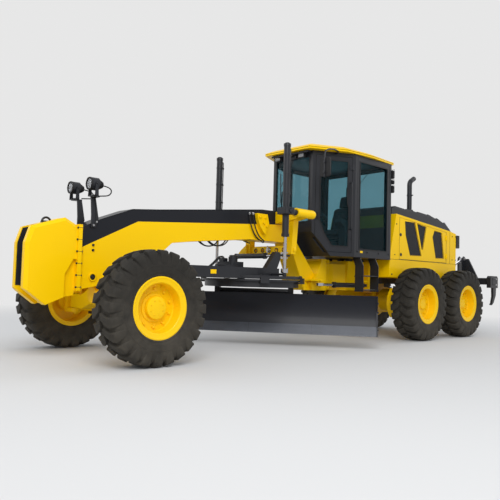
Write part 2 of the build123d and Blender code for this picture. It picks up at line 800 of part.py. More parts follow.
case_in, case_out = 600, 820
with BuildPart() as tandem_axle:
    # Axle housing across the machine and a chain case along each side, with the wheels' spindles.
    with BuildSketch(side(-case_in)):
        with Locations((wheelbase, tyre_r + 20)):
            Circle(125)
    extrude(amount=2 * case_in)
    with BuildSketch(side(-190)):
        with Locations((wheelbase, tyre_r + 20)):
            Circle(230)
    extrude(amount=380)
    for sign in (-1, 1):
        with BuildSketch(side(sign * (case_in + case_out) / 2 - (case_out - case_in) / 2)):
            with BuildLine():
                Polyline((5560, 390), (7540, 390))
                ThreePointArc((7540, 390), (7690, 660), (7540, 910))
                Polyline((7540, 910), (6850, 960), (6250, 960), (5560, 930))
                ThreePointArc((5560, 930), (5440, 660), (5560, 390))
            make_face()
        extrude(amount=case_out - case_in)
        for y in (wheelbase - tandem_spacing / 2, wheelbase + tandem_spacing / 2):
            with BuildSketch(side(sign * 870 - 60)):
                with Locations((y, tyre_r)):
                    Circle(110)
            extrude(amount=120)
            with BuildSketch(side(sign * 1010 - 117)):
                with Locations((y, tyre_r)):
                    Circle(spindle_r)
            extrude(amount=234)
    # Pads that carry the rails.
    for sign in (-1, 1):
        with BuildSketch(across(wheelbase + 140)):
            outline([(sign * rail_in, 700), (sign * rail_out, 700), (sign * rail_out, 1120),
                     (sign * rail_in, 1120)])
        extrude(amount=280)
write(tandem_axle, "tandem_axle")

with BuildPart() as engine:
    with BuildSketch(side(-260)):
        outline([(5760, 1010), (6900, 1010), (6900, 1900), (5760, 1980)])
    extrude(amount=520)
write(engine, "engine")


# ---------------------------------------------------------------- hood
hood_wall = 30
door_front, door_rear, door_low = 5600, 7370, 1470
door_front_top, door_rear_top = 2256, 2110
door_gap = 6
hinge_x, hinge_r = hood_half + 13, 12
hood_waist = (hood_front + 30, 1550)
with BuildPart() as hood:
    # Yellow cover open below, its front slanted and its top falling to the rear, with a door in each side.
    with BuildSketch(side(-hood_half)):
        outline([(hood_front, hood_low), (hood_rear, hood_low), (hood_rear, hood_rear_top), hood_bend,
                 hood_shoulder, hood_waist])
    extrude(amount=2 * hood_half)
    chamfer(hood.edges().filter_by(Axis.Z).sort_by(Axis.Y)[-2:], length=90)
    with BuildSketch(side(-hood_half + hood_wall)):
        outline([(hood_front + hood_wall, hood_low - 10), (hood_rear - hood_wall, hood_low - 10),
                 (hood_rear - hood_wall, hood_rear_top - hood_wall), (hood_bend[0], hood_bend[1] - hood_wall),
                 (hood_shoulder[0] + hood_wall, hood_shoulder[1] - hood_wall),
                 (hood_waist[0] + hood_wall, hood_waist[1])])
    extrude(amount=2 * (hood_half - hood_wall), mode=Mode.SUBTRACT)
    with BuildSketch(side(-hood_half - 10)):
        outline([(door_front, door_low), (door_rear, door_low), (door_rear, door_rear_top),
                 (door_front, door_front_top)])
    extrude(amount=2 * hood_half + 20, mode=Mode.SUBTRACT)
    # Front and rear walls stop over the frame's rails.
    with BuildSketch(side(-rail_out - 40)):
        outline([(hood_front - 50, hood_low - 10), (hood_rear + 50, hood_low - 10), (hood_rear + 50, 1400),
                 (hood_front - 50, 1400)])
    extrude(amount=2 * (rail_out + 40), mode=Mode.SUBTRACT)
write(hood, "hood")

with BuildPart() as hood_door:
    with BuildSketch(side(hood_half - 25)):
        outline([(door_front + door_gap, door_low + door_gap), (door_rear - door_gap, door_low + door_gap),
                 (door_rear - door_gap, door_rear_top - door_gap),
                 (door_front + door_gap, door_front_top - door_gap)])
    extrude(amount=25)
    # Three slanted grille pockets.
    with BuildSketch(side(hood_half - 12)):
        outline([(5790, 2190), (6135, 2200), (6385, 1570), (5980, 1560), (5820, 1935)])
        outline([(6225, 2190), (6560, 2150), (6440, 1700), (6400, 1700)])
        outline([(6890, 2105), (7175, 2080), (7265, 1565), (6945, 1550), (6815, 1970)])
    extrude(amount=20, mode=Mode.SUBTRACT)
    # Hinge knuckles outside the rear edge.
    for z in (1560, 1940):
        with BuildSketch(plan(z)):
            outline([(hood_half - 8, door_rear - 30), (hood_half + 8, door_rear - 30),
                     (hinge_x + hinge_r - 3, door_rear - 4), (hood_half + 5, door_rear - 4)])
            with Locations((hinge_x, door_rear)):
                Circle(hinge_r)
        extrude(amount=100)
write_pair(hood_door, "hood_door")

exhaust_x, exhaust_y, exhaust_r = 440, 6440, 48
bend_z, bend_r, bend_angle, tip_length = 3000, 110, 60, 120
with BuildPart() as hood_deck:
    # Black deck over the hood with a raised housing.
    with BuildSketch(side(-640)):
        outline([(5500, 2313), (7560, 2144), (7800, 2106), (7800, 2135), (7700, 2215), (7400, 2325),
                 (6850, 2405), (6300, 2420), (5600, 2445), (5500, 2430)])
    extrude(amount=1280)
    with BuildSketch(side(-420)):
        outline([(5700, 2430), (6400, 2405), (6340, 2470), (5760, 2505)])
    extrude(amount=840)
    # Exhaust stack, its tip bent to the rear and open.
    with BuildLine(side(exhaust_x)) as run:
        foot = Line((exhaust_y, 2350), (exhaust_y, bend_z))
        bend = JernArc(foot @ 1, foot % 1, bend_r, -bend_angle)
        Line(bend @ 1, bend @ 1 + (bend % 1) * tip_length)
    with BuildSketch(plan(2350)):
        with Locations((exhaust_x, exhaust_y)):
            Circle(exhaust_r)
    sweep(path=run.line)
    with BuildSketch(Plane(origin=run.line @ 1, x_dir=(1, 0, 0), z_dir=run.line % 1)):
        Circle(exhaust_r - 4)
    extrude(amount=-100, mode=Mode.SUBTRACT)
    with BuildSketch(plan(2350)):
        with Locations((exhaust_x, exhaust_y)):
            Circle(75)
    extrude(amount=120)
    # Tail-lamp boxes that wrap the hood's rear corners.
    for sign in (-1, 1):
        with BuildSketch(plan(1810)):
            outline([(sign * 600, 7873), (sign * 664, 7873), (sign * 754, 7784), (sign * 772, 7800),
                     (sign * 772, 7900), (sign * 700, 7985), (sign * 600, 7985)])
        extrude(amount=265)
write(hood_deck, "hood_deck")


# ---------------------------------------------------------------- cab
def cab_plan(inset=0):
    """Six-sided plan of the cab, drawn in by inset."""
    outline([(-cab_front_half, cab_front), (cab_front_half, cab_front), (cab_half, cab_corner),
             (cab_half, cab_rear), (-cab_half, cab_rear), (-cab_half, cab_corner)])
    if inset:
        offset(amount=-inset, mode=Mode.REPLACE)


def toe_wedge(inset=0):
    """Removes what lies ahead of and below the cab's slanted toe, moved back by inset."""
    with BuildSketch(side(-cab_half - 100)) as wedge:
        outline([(3330 + inset, 1980), (3760 + inset, cab_floor), (3760 + inset, 1200), (3000, 1200),
                 (3000, 1980)])
    extrude(wedge.sketch, amount=2 * cab_half + 200, mode=Mode.SUBTRACT)


face_length = hypot(cab_half - cab_front_half, cab_corner - cab_front)
face_along = ((cab_half - cab_front_half) / face_length, (cab_corner - cab_front) / face_length, 0)
face_out = (face_along[1], -face_along[0], 0)
door_in, door_out = 61, face_length - 61
door_foot, door_head = 1512, 3112


def face_plane(outward=0):
    """Plane of the left angled face: local x rearwards along the face, local y up, normal outwards."""
    return Plane(
        origin=(cab_front_half + outward * face_out[0], front_axle_y + cab_front + outward * face_out[1], 0),
        x_dir=face_along,
        z_dir=face_out,
    )


with BuildPart() as cab_void:
    with BuildSketch(plan(sill_z)):
        cab_plan(wall)
    extrude(amount=cab_top - wall - sill_z)
    toe_wedge(60)
    # Front, side and rear windows.
    with BuildSketch(across(cab_front + 100)):
        outline([(-390, 1990), (390, 1990), (390, 3090), (-390, 3090)])
    extrude(amount=200)
    with BuildSketch(side(-cab_half - 50)):
        outline([(4270, 1570), (5110, 1570), (5110, 3080), (4270, 3080)])
    extrude(amount=2 * cab_half + 100)
    with BuildSketch(across(cab_rear + 50)):
        outline([(-680, 2020), (680, 2020), (680, 3080), (-680, 3080)])
    extrude(amount=150)
    # Door openings in the angled faces.
    with BuildSketch(face_plane(-80)):
        outline([(door_in - 6, door_foot - 6), (door_out + 6, door_foot - 6), (door_out + 6, door_head + 6),
                 (door_in - 6, door_head + 6)])
    extrude(amount=120)
    mirror(about=Plane.YZ)

with BuildPart() as cab_shell:
    with BuildSketch(plan(cab_floor)):
        cab_plan()
    extrude(amount=cab_top - cab_floor)
    toe_wedge()
    add(cab_void.part, mode=Mode.SUBTRACT)
    # Mounts down to the rear frame.
    for sign in (-1, 1):
        for y in (4760, 5120):
            with BuildSketch(plan(1395)):
                with Locations((sign * 230, y)):
                    Rectangle(90, 90)
            extrude(amount=cab_floor - 1395)
    # Boarding steps: two side plates and three treads under each sill.
    for sign in (-1, 1):
        for y in (4330, 4770):
            with BuildSketch(across(y + 12)):
                outline([(sign * 640, 1440), (sign * 790, 1440), (sign * 860, 1300), (sign * 860, 860),
                         (sign * 690, 860), (sign * 690, 1300)])
            extrude(amount=12)
        for z in (880, 1120):
            with BuildSketch(plan(z)):
                outline([(sign * 700, 4325), (sign * 855, 4325), (sign * 855, 4775), (sign * 700, 4775)])
            extrude(amount=18)
write(cab_shell, "cab_shell")

with BuildPart() as cab_glass:
    with BuildSketch(across(cab_front + 28)):
        outline([(-389.5, 1990.5), (389.5, 1990.5), (389.5, 3089.5), (-389.5, 3089.5)])
    extrude(amount=6)
    for x in (-cab_half + 22, cab_half - 28):
        with BuildSketch(side(x)):
            outline([(4270.5, 1570.5), (5109.5, 1570.5), (5109.5, 3079.5), (4270.5, 3079.5)])
        extrude(amount=6)
    with BuildSketch(across(cab_rear - 22)):
        outline([(-679.5, 2020.5), (679.5, 2020.5), (679.5, 3079.5), (-679.5, 3079.5)])
    extrude(amount=6)
write(cab_glass, "cab_glass")

window = [
    (door_in + 70, 2020), (door_in + 70, 3050), (door_out - 70, 3050), (door_out - 75, 2330),
    (door_out - 50, 2260), (door_out - 50, 1600), (door_in + 300, 1600), (door_in + 160, 1800),
]
hinge_along, hinge_out = door_out + 12, 12
with BuildPart() as cab_door:
    # Door in the angled face, trimmed by the slanted toe, its window kinked beside the rear pillar.
    with BuildSketch(face_plane(-40)):
        outline([(door_in, door_foot), (door_out, door_foot), (door_out, door_head), (door_in, door_head)])
    extrude(amount=40)
    toe_wedge(8)
    with BuildSketch(face_plane(-60)):
        outline(window)
    extrude(amount=90, mode=Mode.SUBTRACT)
    for z in (1720, 2900):
        knuckle_foot = face_plane(hinge_out).origin + Vector(*face_along) * hinge_along + Vector(0, 0, z)
        with BuildSketch(Plane(origin=knuckle_foot)):
            Circle(11)
        extrude(amount=90)
        with BuildSketch(face_plane(0)):
            outline([(door_out - 60, z), (hinge_along, z), (hinge_along, z + 90), (door_out - 60, z + 90)])
        extrude(amount=10)
write_pair(cab_door, "cab_door")

with BuildPart() as door_glass:
    with BuildSketch(face_plane(-23)):
        outline(window)
        offset(amount=-0.5, mode=Mode.REPLACE)
    extrude(amount=6)
write_pair(door_glass, "door_glass")

with BuildPart() as cab_roof:
    # Roof overhanging the front as a visor, bevelled all round.
    with BuildSketch(plan(cab_top)):
        outline([(-510, 3290), (510, 3290), (810, 3920), (850, 4600), (790, 5310), (-790, 5310), (-850, 4600),
                 (-810, 3920)])
    extrude(amount=105)
    chamfer(cab_roof.faces().sort_by(Axis.Z)[-1].edges(), length=60, length2=130)
write(cab_roof, "cab_roof")

with BuildPart() as seat:
    with BuildSketch(plan(sill_z)):
        with Locations((0, 4640)):
            RectangleRounded(340, 360, 40)
    extrude(amount=330)
    with BuildSketch(side(-255)):
        outline([(4350, 1830), (4860, 1830), (4980, 2420), (4900, 2440), (4800, 1960), (4360, 1960)])
    extrude(amount=510)
    with BuildSketch(side(-150)):
        outline([(4905, 2400), (4975, 2400), (5010, 2620), (4945, 2640)])
    extrude(amount=300)
write(seat, "seat")

with BuildPart() as console:
    # Steering column and wheel, and an armrest console at each side of the seat.
    with BuildSketch(side(-90)):
        outline([(3980, sill_z), (4170, sill_z), (4130, 2080), (4060, 2130), (3960, 2090)])
    extrude(amount=180)
    wheel_plane = Plane(origin=(0, front_axle_y + 4110, 2160), x_dir=(1, 0, 0), z_dir=(0, 0.42, 0.91))
    with BuildSketch(wheel_plane):
        Circle(190)
        Circle(160, mode=Mode.SUBTRACT)
        Rectangle(340, 40)
    extrude(amount=26)
    with BuildSketch(wheel_plane.offset(-80)):
        Circle(35)
    extrude(amount=90)
    for sign in (-1, 1):
        with BuildSketch(side(sign * 355 - 65)):
            outline([(4380, sill_z), (4760, sill_z), (4800, 1900), (4760, 2060), (4300, 2130), (4260, 2060),
                     (4370, 1980)])
        extrude(amount=130)
write(console, "console")


# ---------------------------------------------------------------- ripper
with BuildPart() as ripper_bracket:
    # Two side plates and a front plate, with the beam's pivots outside and the cylinders' pins inside.
    for sign in (-1, 1):
        with BuildSketch(side(sign * 330 - 25)):
            outline([(7900, 960), (8100, 940), (8125, 1080), (8230, 1230), (8230, 1370), (8160, 1390),
                     (7900, 1390)])
        extrude(amount=50)
        with BuildSketch(side(sign * 405 - 65)):
            with Locations(ripper_pivot):
                Circle(32)
        extrude(amount=130)
        with BuildSketch(side(sign * 258 - 53)):
            with Locations(ripper_barrel_pin[1:]):
                Circle(22)
        extrude(amount=106)
    with BuildSketch(across(7940)):
        outline([(-340, 960), (340, 960), (340, 1390), (-340, 1390)])
    extrude(amount=40)
write(ripper_bracket, "ripper_bracket")

with BuildPart() as ripper_beam:
    # Two arms from the pivots to a cross beam.
    for sign in (-1, 1):
        with BuildSketch(side(sign * 415 - 45)):
            outline([(8010, 950), (8100, 940), (8990, 1060), (8990, 1200), (8110, 1085), (8030, 1080)])
            with Locations(ripper_pivot):
                Circle(72)
                Circle(32.1, mode=Mode.SUBTRACT)
        extrude(amount=90)
    with BuildSketch(side(-1010)):
        with Locations((ripper_beam_y, ripper_beam_z)):
            RectangleRounded(150, 150, 20)
    extrude(amount=2020)
    # Three holders, each with a curved shank.
    for x in (-960, 0, 960):
        with BuildSketch(side(x - 45)):
            outline([(8900, 985), (9270, 985), (9270, 1210), (9230, 1250), (8940, 1250), (8900, 1210)])
        extrude(amount=90)
        with BuildSketch(side(x - 25)):
            outline([(9075, 990), (9085, 800), (9030, 650), (8985, 612), (9020, 600), (9110, 660),
                     (9215, 820), (9230, 990)])
        extrude(amount=50)
    # A tall pair of lugs for each cylinder's rod, stayed by a gusset outboard.
    for sign in (-1, 1):
        for lug_x in (ripper_cylinder_x - 52, ripper_cylinder_x + 52):
            with BuildSketch(side(sign * lug_x - 14)):
                outline([(8985, 1190), (9150, 1190), (9130, 1560), (9115, 1660), (9050, 1700), (8990, 1660),
                         (8975, 1560)])
            extrude(amount=28)
        with BuildSketch(side(sign * ripper_cylinder_x - 60)):
            with Locations(ripper_rod_pin[1:]):
                Circle(16)
        extrude(amount=120)
        with BuildSketch(across(9080)):
            outline([(sign * 310, 1200), (sign * 640, 1200), (sign * 420, 1640), (sign * 310, 1640)])
        extrude(amount=40)
write(ripper_beam, "ripper_beam")
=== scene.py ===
"""Looks of the motor grader: finishes, tread, rims, lamps, cab fittings, hoses and bolts on its frame."""

import json
from math import cos, pi, radians, sin

import bmesh
import bpy
from mathutils import Matrix, Vector


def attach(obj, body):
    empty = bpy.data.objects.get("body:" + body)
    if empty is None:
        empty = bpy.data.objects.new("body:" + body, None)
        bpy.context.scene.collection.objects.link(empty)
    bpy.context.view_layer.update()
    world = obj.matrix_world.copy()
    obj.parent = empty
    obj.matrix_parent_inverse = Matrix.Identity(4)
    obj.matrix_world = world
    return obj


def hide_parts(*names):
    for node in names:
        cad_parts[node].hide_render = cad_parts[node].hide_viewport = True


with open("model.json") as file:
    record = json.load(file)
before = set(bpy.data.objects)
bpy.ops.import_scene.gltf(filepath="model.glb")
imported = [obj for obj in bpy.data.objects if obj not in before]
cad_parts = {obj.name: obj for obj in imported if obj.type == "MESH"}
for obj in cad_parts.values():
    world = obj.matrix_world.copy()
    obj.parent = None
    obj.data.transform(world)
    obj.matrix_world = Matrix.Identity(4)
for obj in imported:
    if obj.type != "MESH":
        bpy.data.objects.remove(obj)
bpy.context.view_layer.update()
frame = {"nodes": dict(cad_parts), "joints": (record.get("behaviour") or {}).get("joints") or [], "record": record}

scene = bpy.context.scene
scene.view_settings.view_transform = "Standard"
joint_at = {j["name"]: Vector(j["pos_m"]) for j in frame["joints"] if "pos_m" in j}
front_y = joint_at["steer_left"].y
HANDS = (("left", 1), ("right", -1))
BACKDROP = (0.80, 0.80, 0.80, 1)
# Places on the solids in metres: x from the machine's middle, y rearwards from the front axle.
WHEEL_X, NECK_SIDE = 1.07, 0.170
NOSE_LAMP_X = 0.25
LIFT_X, LIFT_Y = 0.78, 2.48
CIRCLE_Y = 2.56
CAB_FRONT, CAB_REAR, CAB_SIDE = 3.450, 5.230, 0.800
HOOD_SIDE = 0.750


def at(x, y, z):
    """A point with y measured rearwards from the front axle."""
    return Vector((x, front_y + y, z))


# ---------------------------------------------------------------- camera, light and floor
def look_from_the_left_front():
    azimuth, elevation, roll = radians(46.86), radians(-3.11), radians(1.61)
    back = Vector((sin(azimuth) * cos(elevation), -cos(azimuth) * cos(elevation), sin(elevation)))
    level_right = back.cross(Vector((0, 0, -1))).normalized()
    level_up = back.cross(level_right)
    right = cos(roll) * level_right + sin(roll) * level_up
    up = cos(roll) * level_up - sin(roll) * level_right
    camera = bpy.data.objects.new("camera", bpy.data.cameras.new("camera"))
    axes = Matrix((right, up, back)).transposed().to_4x4()
    camera.matrix_world = Matrix.Translation(at(6.532, -3.616, 0.992)) @ axes
    camera.data.sensor_width = 36
    camera.data.lens = 40.85
    camera.data.clip_end = 300
    scene.collection.objects.link(camera)
    scene.camera = camera


def area_light(name, place, target, size, watts):
    lamp = bpy.data.lights.new(name, "AREA")
    lamp.size, lamp.energy = size, watts
    holder = bpy.data.objects.new(name, lamp)
    holder.location = place
    holder.rotation_euler = (Vector(target) - Vector(place)).to_track_quat("-Z", "Y").to_euler()
    scene.collection.objects.link(holder)


def feed(tree, target, inputs):
    """Gives a node's inputs their constants, or links them to other nodes' outputs."""
    for socket, value in inputs.items():
        if isinstance(value, bpy.types.NodeSocket):
            tree.links.new(value, target.inputs[socket])
        else:
            target.inputs[socket].default_value = value


def add_node(tree, kind, inputs=None, **settings):
    node = tree.nodes.new("ShaderNode" + kind)
    for setting, value in settings.items():
        setattr(node, setting, value)
    feed(tree, node, inputs or {})
    return node


def new_material(name):
    """A material, its node tree and its main shader."""
    made = bpy.data.materials.new(name)
    made.use_nodes = True
    return made, made.node_tree, made.node_tree.nodes["Principled BSDF"]


def studio():
    """Even pale surroundings, a broad key from the left front, a floor that keeps the shadow."""
    world = bpy.data.worlds.new("studio")
    scene.world = world
    world.use_nodes = True
    tree = world.node_tree
    tree.nodes.clear()
    seen = add_node(tree, "Background", {"Color": BACKDROP})
    lit = add_node(tree, "Background", {"Color": (0.93, 0.96, 1.0, 1), "Strength": 0.70})
    path = add_node(tree, "LightPath")
    direct = path.outputs["Is Camera Ray"]
    for ray in ("Is Glossy Ray", "Is Transmission Ray"):
        direct = add_node(tree, "Math", {0: direct, 1: path.outputs[ray]}, operation="MAXIMUM").outputs[0]
    mix = add_node(tree, "MixShader", {0: direct, 1: lit.outputs[0], 2: seen.outputs[0]})
    add_node(tree, "OutputWorld", {0: mix.outputs[0]})
    area_light("key", (9, front_y - 5, 9), (0, 0, 1), 7, 1050)
    area_light("fill", (-9, front_y - 4, 8), (0, 0, 1), 8, 250)
    area_light("rear", (3, 12, 9), (0, 2, 1.5), 7, 350)
    bpy.ops.mesh.primitive_plane_add(size=160)
    floor = bpy.context.object
    floor.name = "floor"
    pale, tree, shader = new_material("floor")
    feed(tree, shader, {"Base Color": (0.62, 0.62, 0.62, 1), "Roughness": 0.9})
    # Far out, the floor runs into the backdrop's tone.
    far = add_node(tree, "Emission", {"Color": BACKDROP})
    place = add_node(tree, "TexCoord").outputs["Object"]
    distance = add_node(tree, "VectorMath", {0: place}, operation="LENGTH").outputs["Value"]
    fade = add_node(tree, "MapRange", {"Value": distance, "From Min": 5.5, "From Max": 13},
                    interpolation_type="SMOOTHSTEP")
    sweep = add_node(tree, "MixShader", {"Fac": fade.outputs[0], 1: shader.outputs[0], 2: far.outputs[0]})
    feed(tree, tree.nodes["Material Output"], {"Surface": sweep.outputs[0]})
    floor.data.materials.append(pale)


look_from_the_left_front()
studio()


# ---------------------------------------------------------------- materials
def surface(name, color, roughness, metallic=0.0, coat=0.0, mottle=0.0, mottle_size=1.0, grain=0.0,
            grain_size=600.0, round_edges=0.0, dust=0.0, dust_top=1.0, specular=0.35):
    """Painted, cast or moulded finish: drifting tone and gloss, fine grain, dust low down, softened edges."""
    made, tree, shader = new_material(name)
    place = add_node(tree, "TexCoord").outputs["Object"]
    drift = add_node(tree, "TexNoise", {"Vector": place, "Scale": mottle_size, "Detail": 6}).outputs["Fac"]
    dark = [c * (1 - mottle) for c in color]
    light = [min(1, c * (1 + mottle)) for c in color]
    tone = add_node(tree, "Mix", {"Factor": drift, "A": (*dark, 1), "B": (*light, 1)},
                    data_type="RGBA", name="tone")
    last = tone.outputs["Result"]
    if dust:
        height = add_node(tree, "SeparateXYZ", {0: place}).outputs["Z"]
        low = add_node(tree, "MapRange", {"Value": height, "From Min": dust_top, "From Max": 0.0,
                                          "To Max": dust})
        speckle = add_node(tree, "TexNoise", {"Vector": place, "Scale": 9, "Detail": 8})
        amount = add_node(tree, "Math", {0: low.outputs[0], 1: speckle.outputs["Fac"]}, operation="MULTIPLY")
        dusty = add_node(tree, "Mix", {"Factor": amount.outputs[0], "A": last, "B": (0.30, 0.26, 0.20, 1)},
                         data_type="RGBA")
        last = dusty.outputs["Result"]
    gloss = add_node(tree, "MapRange", {"Value": drift, "To Min": roughness * 0.85,
                                        "To Max": min(1, roughness * 1.15)})
    fine = add_node(tree, "TexNoise", {"Vector": place, "Scale": grain_size, "Detail": 3})
    bump = add_node(tree, "Bump", {"Strength": grain, "Distance": 0.002, "Height": fine.outputs["Fac"]})
    if round_edges:
        soft = add_node(tree, "Bevel", {"Radius": round_edges}, samples=4)
        feed(tree, bump, {"Normal": soft.outputs[0]})
    feed(tree, shader, {"Base Color": last, "Metallic": metallic, "Roughness": gloss.outputs[0],
                        "Coat Weight": coat, "Coat Roughness": 0.12, "Specular IOR Level": specular,
                        "Normal": bump.outputs[0]})
    return made


YELLOW, BLACK = (0.95, 0.585, 0.0), (0.014, 0.015, 0.019)
yellow = surface("yellow_paint", YELLOW, 0.36, coat=0.06, mottle=0.03, mottle_size=0.9, grain=0.10,
                 grain_size=260, round_edges=0.007, dust=0.05, dust_top=1.2, specular=0.12)
wheel_yellow = surface("wheel_paint", YELLOW, 0.38, coat=0.08, mottle=0.04, mottle_size=2.5, grain=0.10,
                       grain_size=240, round_edges=0.004, dust=0.10, dust_top=1.1, specular=0.14)
black = surface("black_paint", BLACK, 0.42, coat=0.10, mottle=0.2, mottle_size=3, grain=0.15, grain_size=320,
                round_edges=0.005, dust=0.08, dust_top=1.3, specular=0.30)
blade = surface("blade_paint", (0.009, 0.010, 0.015), 0.40, coat=0.08, mottle=0.25, mottle_size=1.5,
                grain=0.2, grain_size=180, round_edges=0.004, dust=0.04, dust_top=0.8, specular=0.22)
rubber = surface("tyre_rubber", (0.011, 0.0105, 0.0095), 0.74, mottle=0.35, mottle_size=7, grain=0.45,
                 grain_size=220, dust=0.30, dust_top=1.6, specular=0.22)
trim_rubber = surface("trim_rubber", (0.010, 0.010, 0.011), 0.6, mottle=0.15, mottle_size=20, grain=0.3)
steel = surface("bare_steel", (0.42, 0.42, 0.43), 0.32, metallic=1.0, mottle=0.2, mottle_size=12, grain=0.2)
chrome = surface("chrome_rod", (0.42, 0.42, 0.45), 0.16, metallic=1.0, mottle=0.05, mottle_size=30)
grille = surface("grille_mesh", (0.012, 0.012, 0.014), 0.55, mottle=0.2, mottle_size=15)
plastic = surface("cab_plastic", (0.045, 0.046, 0.05), 0.55, mottle=0.1, mottle_size=9, grain=0.5,
                  grain_size=700)
cloth = surface("seat_cloth", (0.035, 0.036, 0.042), 0.9, mottle=0.2, mottle_size=40, grain=0.6,
                grain_size=900)
iron = surface("engine_iron", (0.05, 0.05, 0.052), 0.6, mottle=0.3, mottle_size=6, grain=0.5, grain_size=120)
edge_steel = surface("cutting_edge", (0.055, 0.060, 0.072), 0.34, metallic=0.35, coat=0.2, mottle=0.35,
                     mottle_size=4, grain=0.3, grain_size=160)


def two_tone_frame(base):
    """The gooseneck's black upper band, bounded below by a line that climbs and then runs nearly level."""
    made = base.copy()
    made.name = "yellow_paint_black_band"
    tree = made.node_tree
    place = add_node(tree, "TexCoord").outputs["Object"]
    split = add_node(tree, "SeparateXYZ", {0: place}).outputs

    def math(operation, a, b):
        return add_node(tree, "Math", {0: a, 1: b}, operation=operation).outputs[0]

    # Rising edge near the nose, then a gentle one to the saddle; the band lies above both.
    from_axle = math("SUBTRACT", split["Y"], front_y)
    steep = math("ADD", math("MULTIPLY", from_axle, 0.495), 1.553)
    gentle = math("ADD", math("MULTIPLY", from_axle, 0.073), 1.696)
    above = math("GREATER_THAN", split["Z"], math("MINIMUM", steep, gentle))
    ahead = math("LESS_THAN", from_axle, 3.35)
    behind_flange = math("GREATER_THAN", from_axle, -0.448)
    inside = math("LESS_THAN", math("ABSOLUTE", split["X"], 0), 0.178)
    band = math("MULTIPLY", math("MULTIPLY", above, inside), math("MULTIPLY", ahead, behind_flange))
    tone = tree.nodes["tone"].outputs["Result"]
    target = tone.links[0].to_socket
    both = add_node(tree, "Mix", {"Factor": band, "A": tone, "B": (*BLACK, 1)}, data_type="RGBA")
    tree.links.new(both.outputs["Result"], target)
    return made


def tinted_glass():
    """Green-blue safety glass that lets the view through and mirrors a little of the sky."""
    made, tree, shader = new_material("tinted_glass")
    feed(tree, shader, {"Base Color": (0.01, 0.03, 0.035, 1), "Roughness": 0.03, "IOR": 1.5})
    clear = add_node(tree, "BsdfTransparent", {"Color": (0.64, 0.80, 0.84, 1)})
    mix = add_node(tree, "MixShader", {"Fac": 0.14, 1: clear.outputs[0], 2: shader.outputs[0]})
    feed(tree, tree.nodes["Material Output"], {"Surface": mix.outputs[0]})
    return made


def ribbed_lens():
    """Clear work-lamp glass with fine upright ribs."""
    made, tree, shader = new_material("lamp_glass")
    place = add_node(tree, "TexCoord").outputs["Object"]
    ribs = add_node(tree, "TexWave", {"Vector": place, "Scale": 38}, bands_direction="X")
    bump = add_node(tree, "Bump", {"Strength": 0.5, "Distance": 0.002, "Height": ribs.outputs["Fac"]})
    feed(tree, shader, {"Base Color": (0.93, 0.95, 0.97, 1), "Roughness": 0.04, "Transmission Weight": 0.85,
                        "IOR": 1.45, "Normal": bump.outputs[0]})
    return made


def colored_lens(name, color):
    """Tail-lamp lens with a cellular prism pattern."""
    made, tree, shader = new_material(name)
    place = add_node(tree, "TexCoord").outputs["Object"]
    cells = add_node(tree, "TexVoronoi", {"Vector": place, "Scale": 160})
    bump = add_node(tree, "Bump", {"Strength": 0.5, "Distance": 0.001, "Height": cells.outputs["Distance"]})
    feed(tree, shader, {"Base Color": (*color, 1), "Roughness": 0.12, "Coat Weight": 0.6,
                        "Normal": bump.outputs[0]})
    return made


glass = tinted_glass()
banded_yellow = two_tone_frame(yellow)
lamp_glass = ribbed_lens()
tail_red = colored_lens("tail_red", (0.42, 0.010, 0.008))
amber = colored_lens("tail_amber", (0.62, 0.16, 0.01))

slot_finish = {
    "yellow_paint": yellow, "wheel_paint": wheel_yellow, "black_paint": black, "blade_steel": blade,
    "chrome_rod": chrome, "bare_steel": steel, "tyre_rubber": rubber, "cab_glass": glass,
    "seat_fabric": cloth, "console_plastic": plastic, "engine_iron": iron,
}
# The solids that don't take their slot's own finish.
cad_finish = {"front_frame": banded_yellow, "cab_roof": yellow}
for part in frame["record"]["subparts"]:
    solid = frame["nodes"][part["node"]]
    solid.data.materials.clear()
    solid.data.materials.append(cad_finish.get(part["node"], slot_finish[part["material_slot"]]))

slot_of = {finish.name: slot for slot, finish in slot_finish.items()}
for finish, slot in ((banded_yellow, "yellow_paint"), (trim_rubber, "black_paint"), (grille, "black_paint"),
                     (edge_steel, "bare_steel"), (lamp_glass, "cab_glass"), (tail_red, "cab_glass"),
                     (amber, "cab_glass")):
    slot_of[finish.name] = slot


# ---------------------------------------------------------------- mesh code
def axes(origin, x_dir, normal):
    """Placement whose local x and z are the given directions."""
    z = Vector(normal).normalized()
    x = Vector(x_dir).normalized()
    return Matrix.Translation(origin) @ Matrix((x, z.cross(x), z)).transposed().to_4x4()


def upright(x, y, z):
    """Placement on a level plane, facing up."""
    return axes(at(x, y, z), (1, 0, 0), (0, 0, 1))


def sideways(x, y, z, sign):
    """Placement on a side plane, facing left for a sign of 1 and right for -1."""
    return axes(at(x, y, z), (0, sign, 0), (sign, 0, 0))


def outward(x, y, z):
    """Placement on a side plane, facing away from the machine's middle."""
    return sideways(x, y, z, 1 if x > 0 else -1)


def forward(x, z, y):
    """Placement on a plane across the machine at y, facing forwards."""
    return ACROSS @ Matrix.Translation((x, z, -y))


def rearward(x, z, y):
    """Placement on a plane across the machine at y, facing rearwards."""
    return axes(at(x, y, z), (-1, 0, 0), (0, 1, 0))


def rect(low_u, low_v, high_u, high_v):
    return [(low_u, low_v), (high_u, low_v), (high_u, high_v), (low_u, high_v)]


def circle(radius, count, start=0.0):
    """Evenly spaced points round the origin."""
    turns = [start + 2 * pi * k / count for k in range(count)]
    return [(radius * cos(t), radius * sin(t)) for t in turns]


def arc(centre, radius, start, end, count):
    """Points of an arc, angles in degrees."""
    turns = [radians(start + (end - start) * k / (count - 1)) for k in range(count)]
    return [(centre[0] + radius * cos(t), centre[1] + radius * sin(t)) for t in turns]


def route(points):
    """World points of a pipe or hose from points given from the front axle."""
    return [at(*p) for p in points]


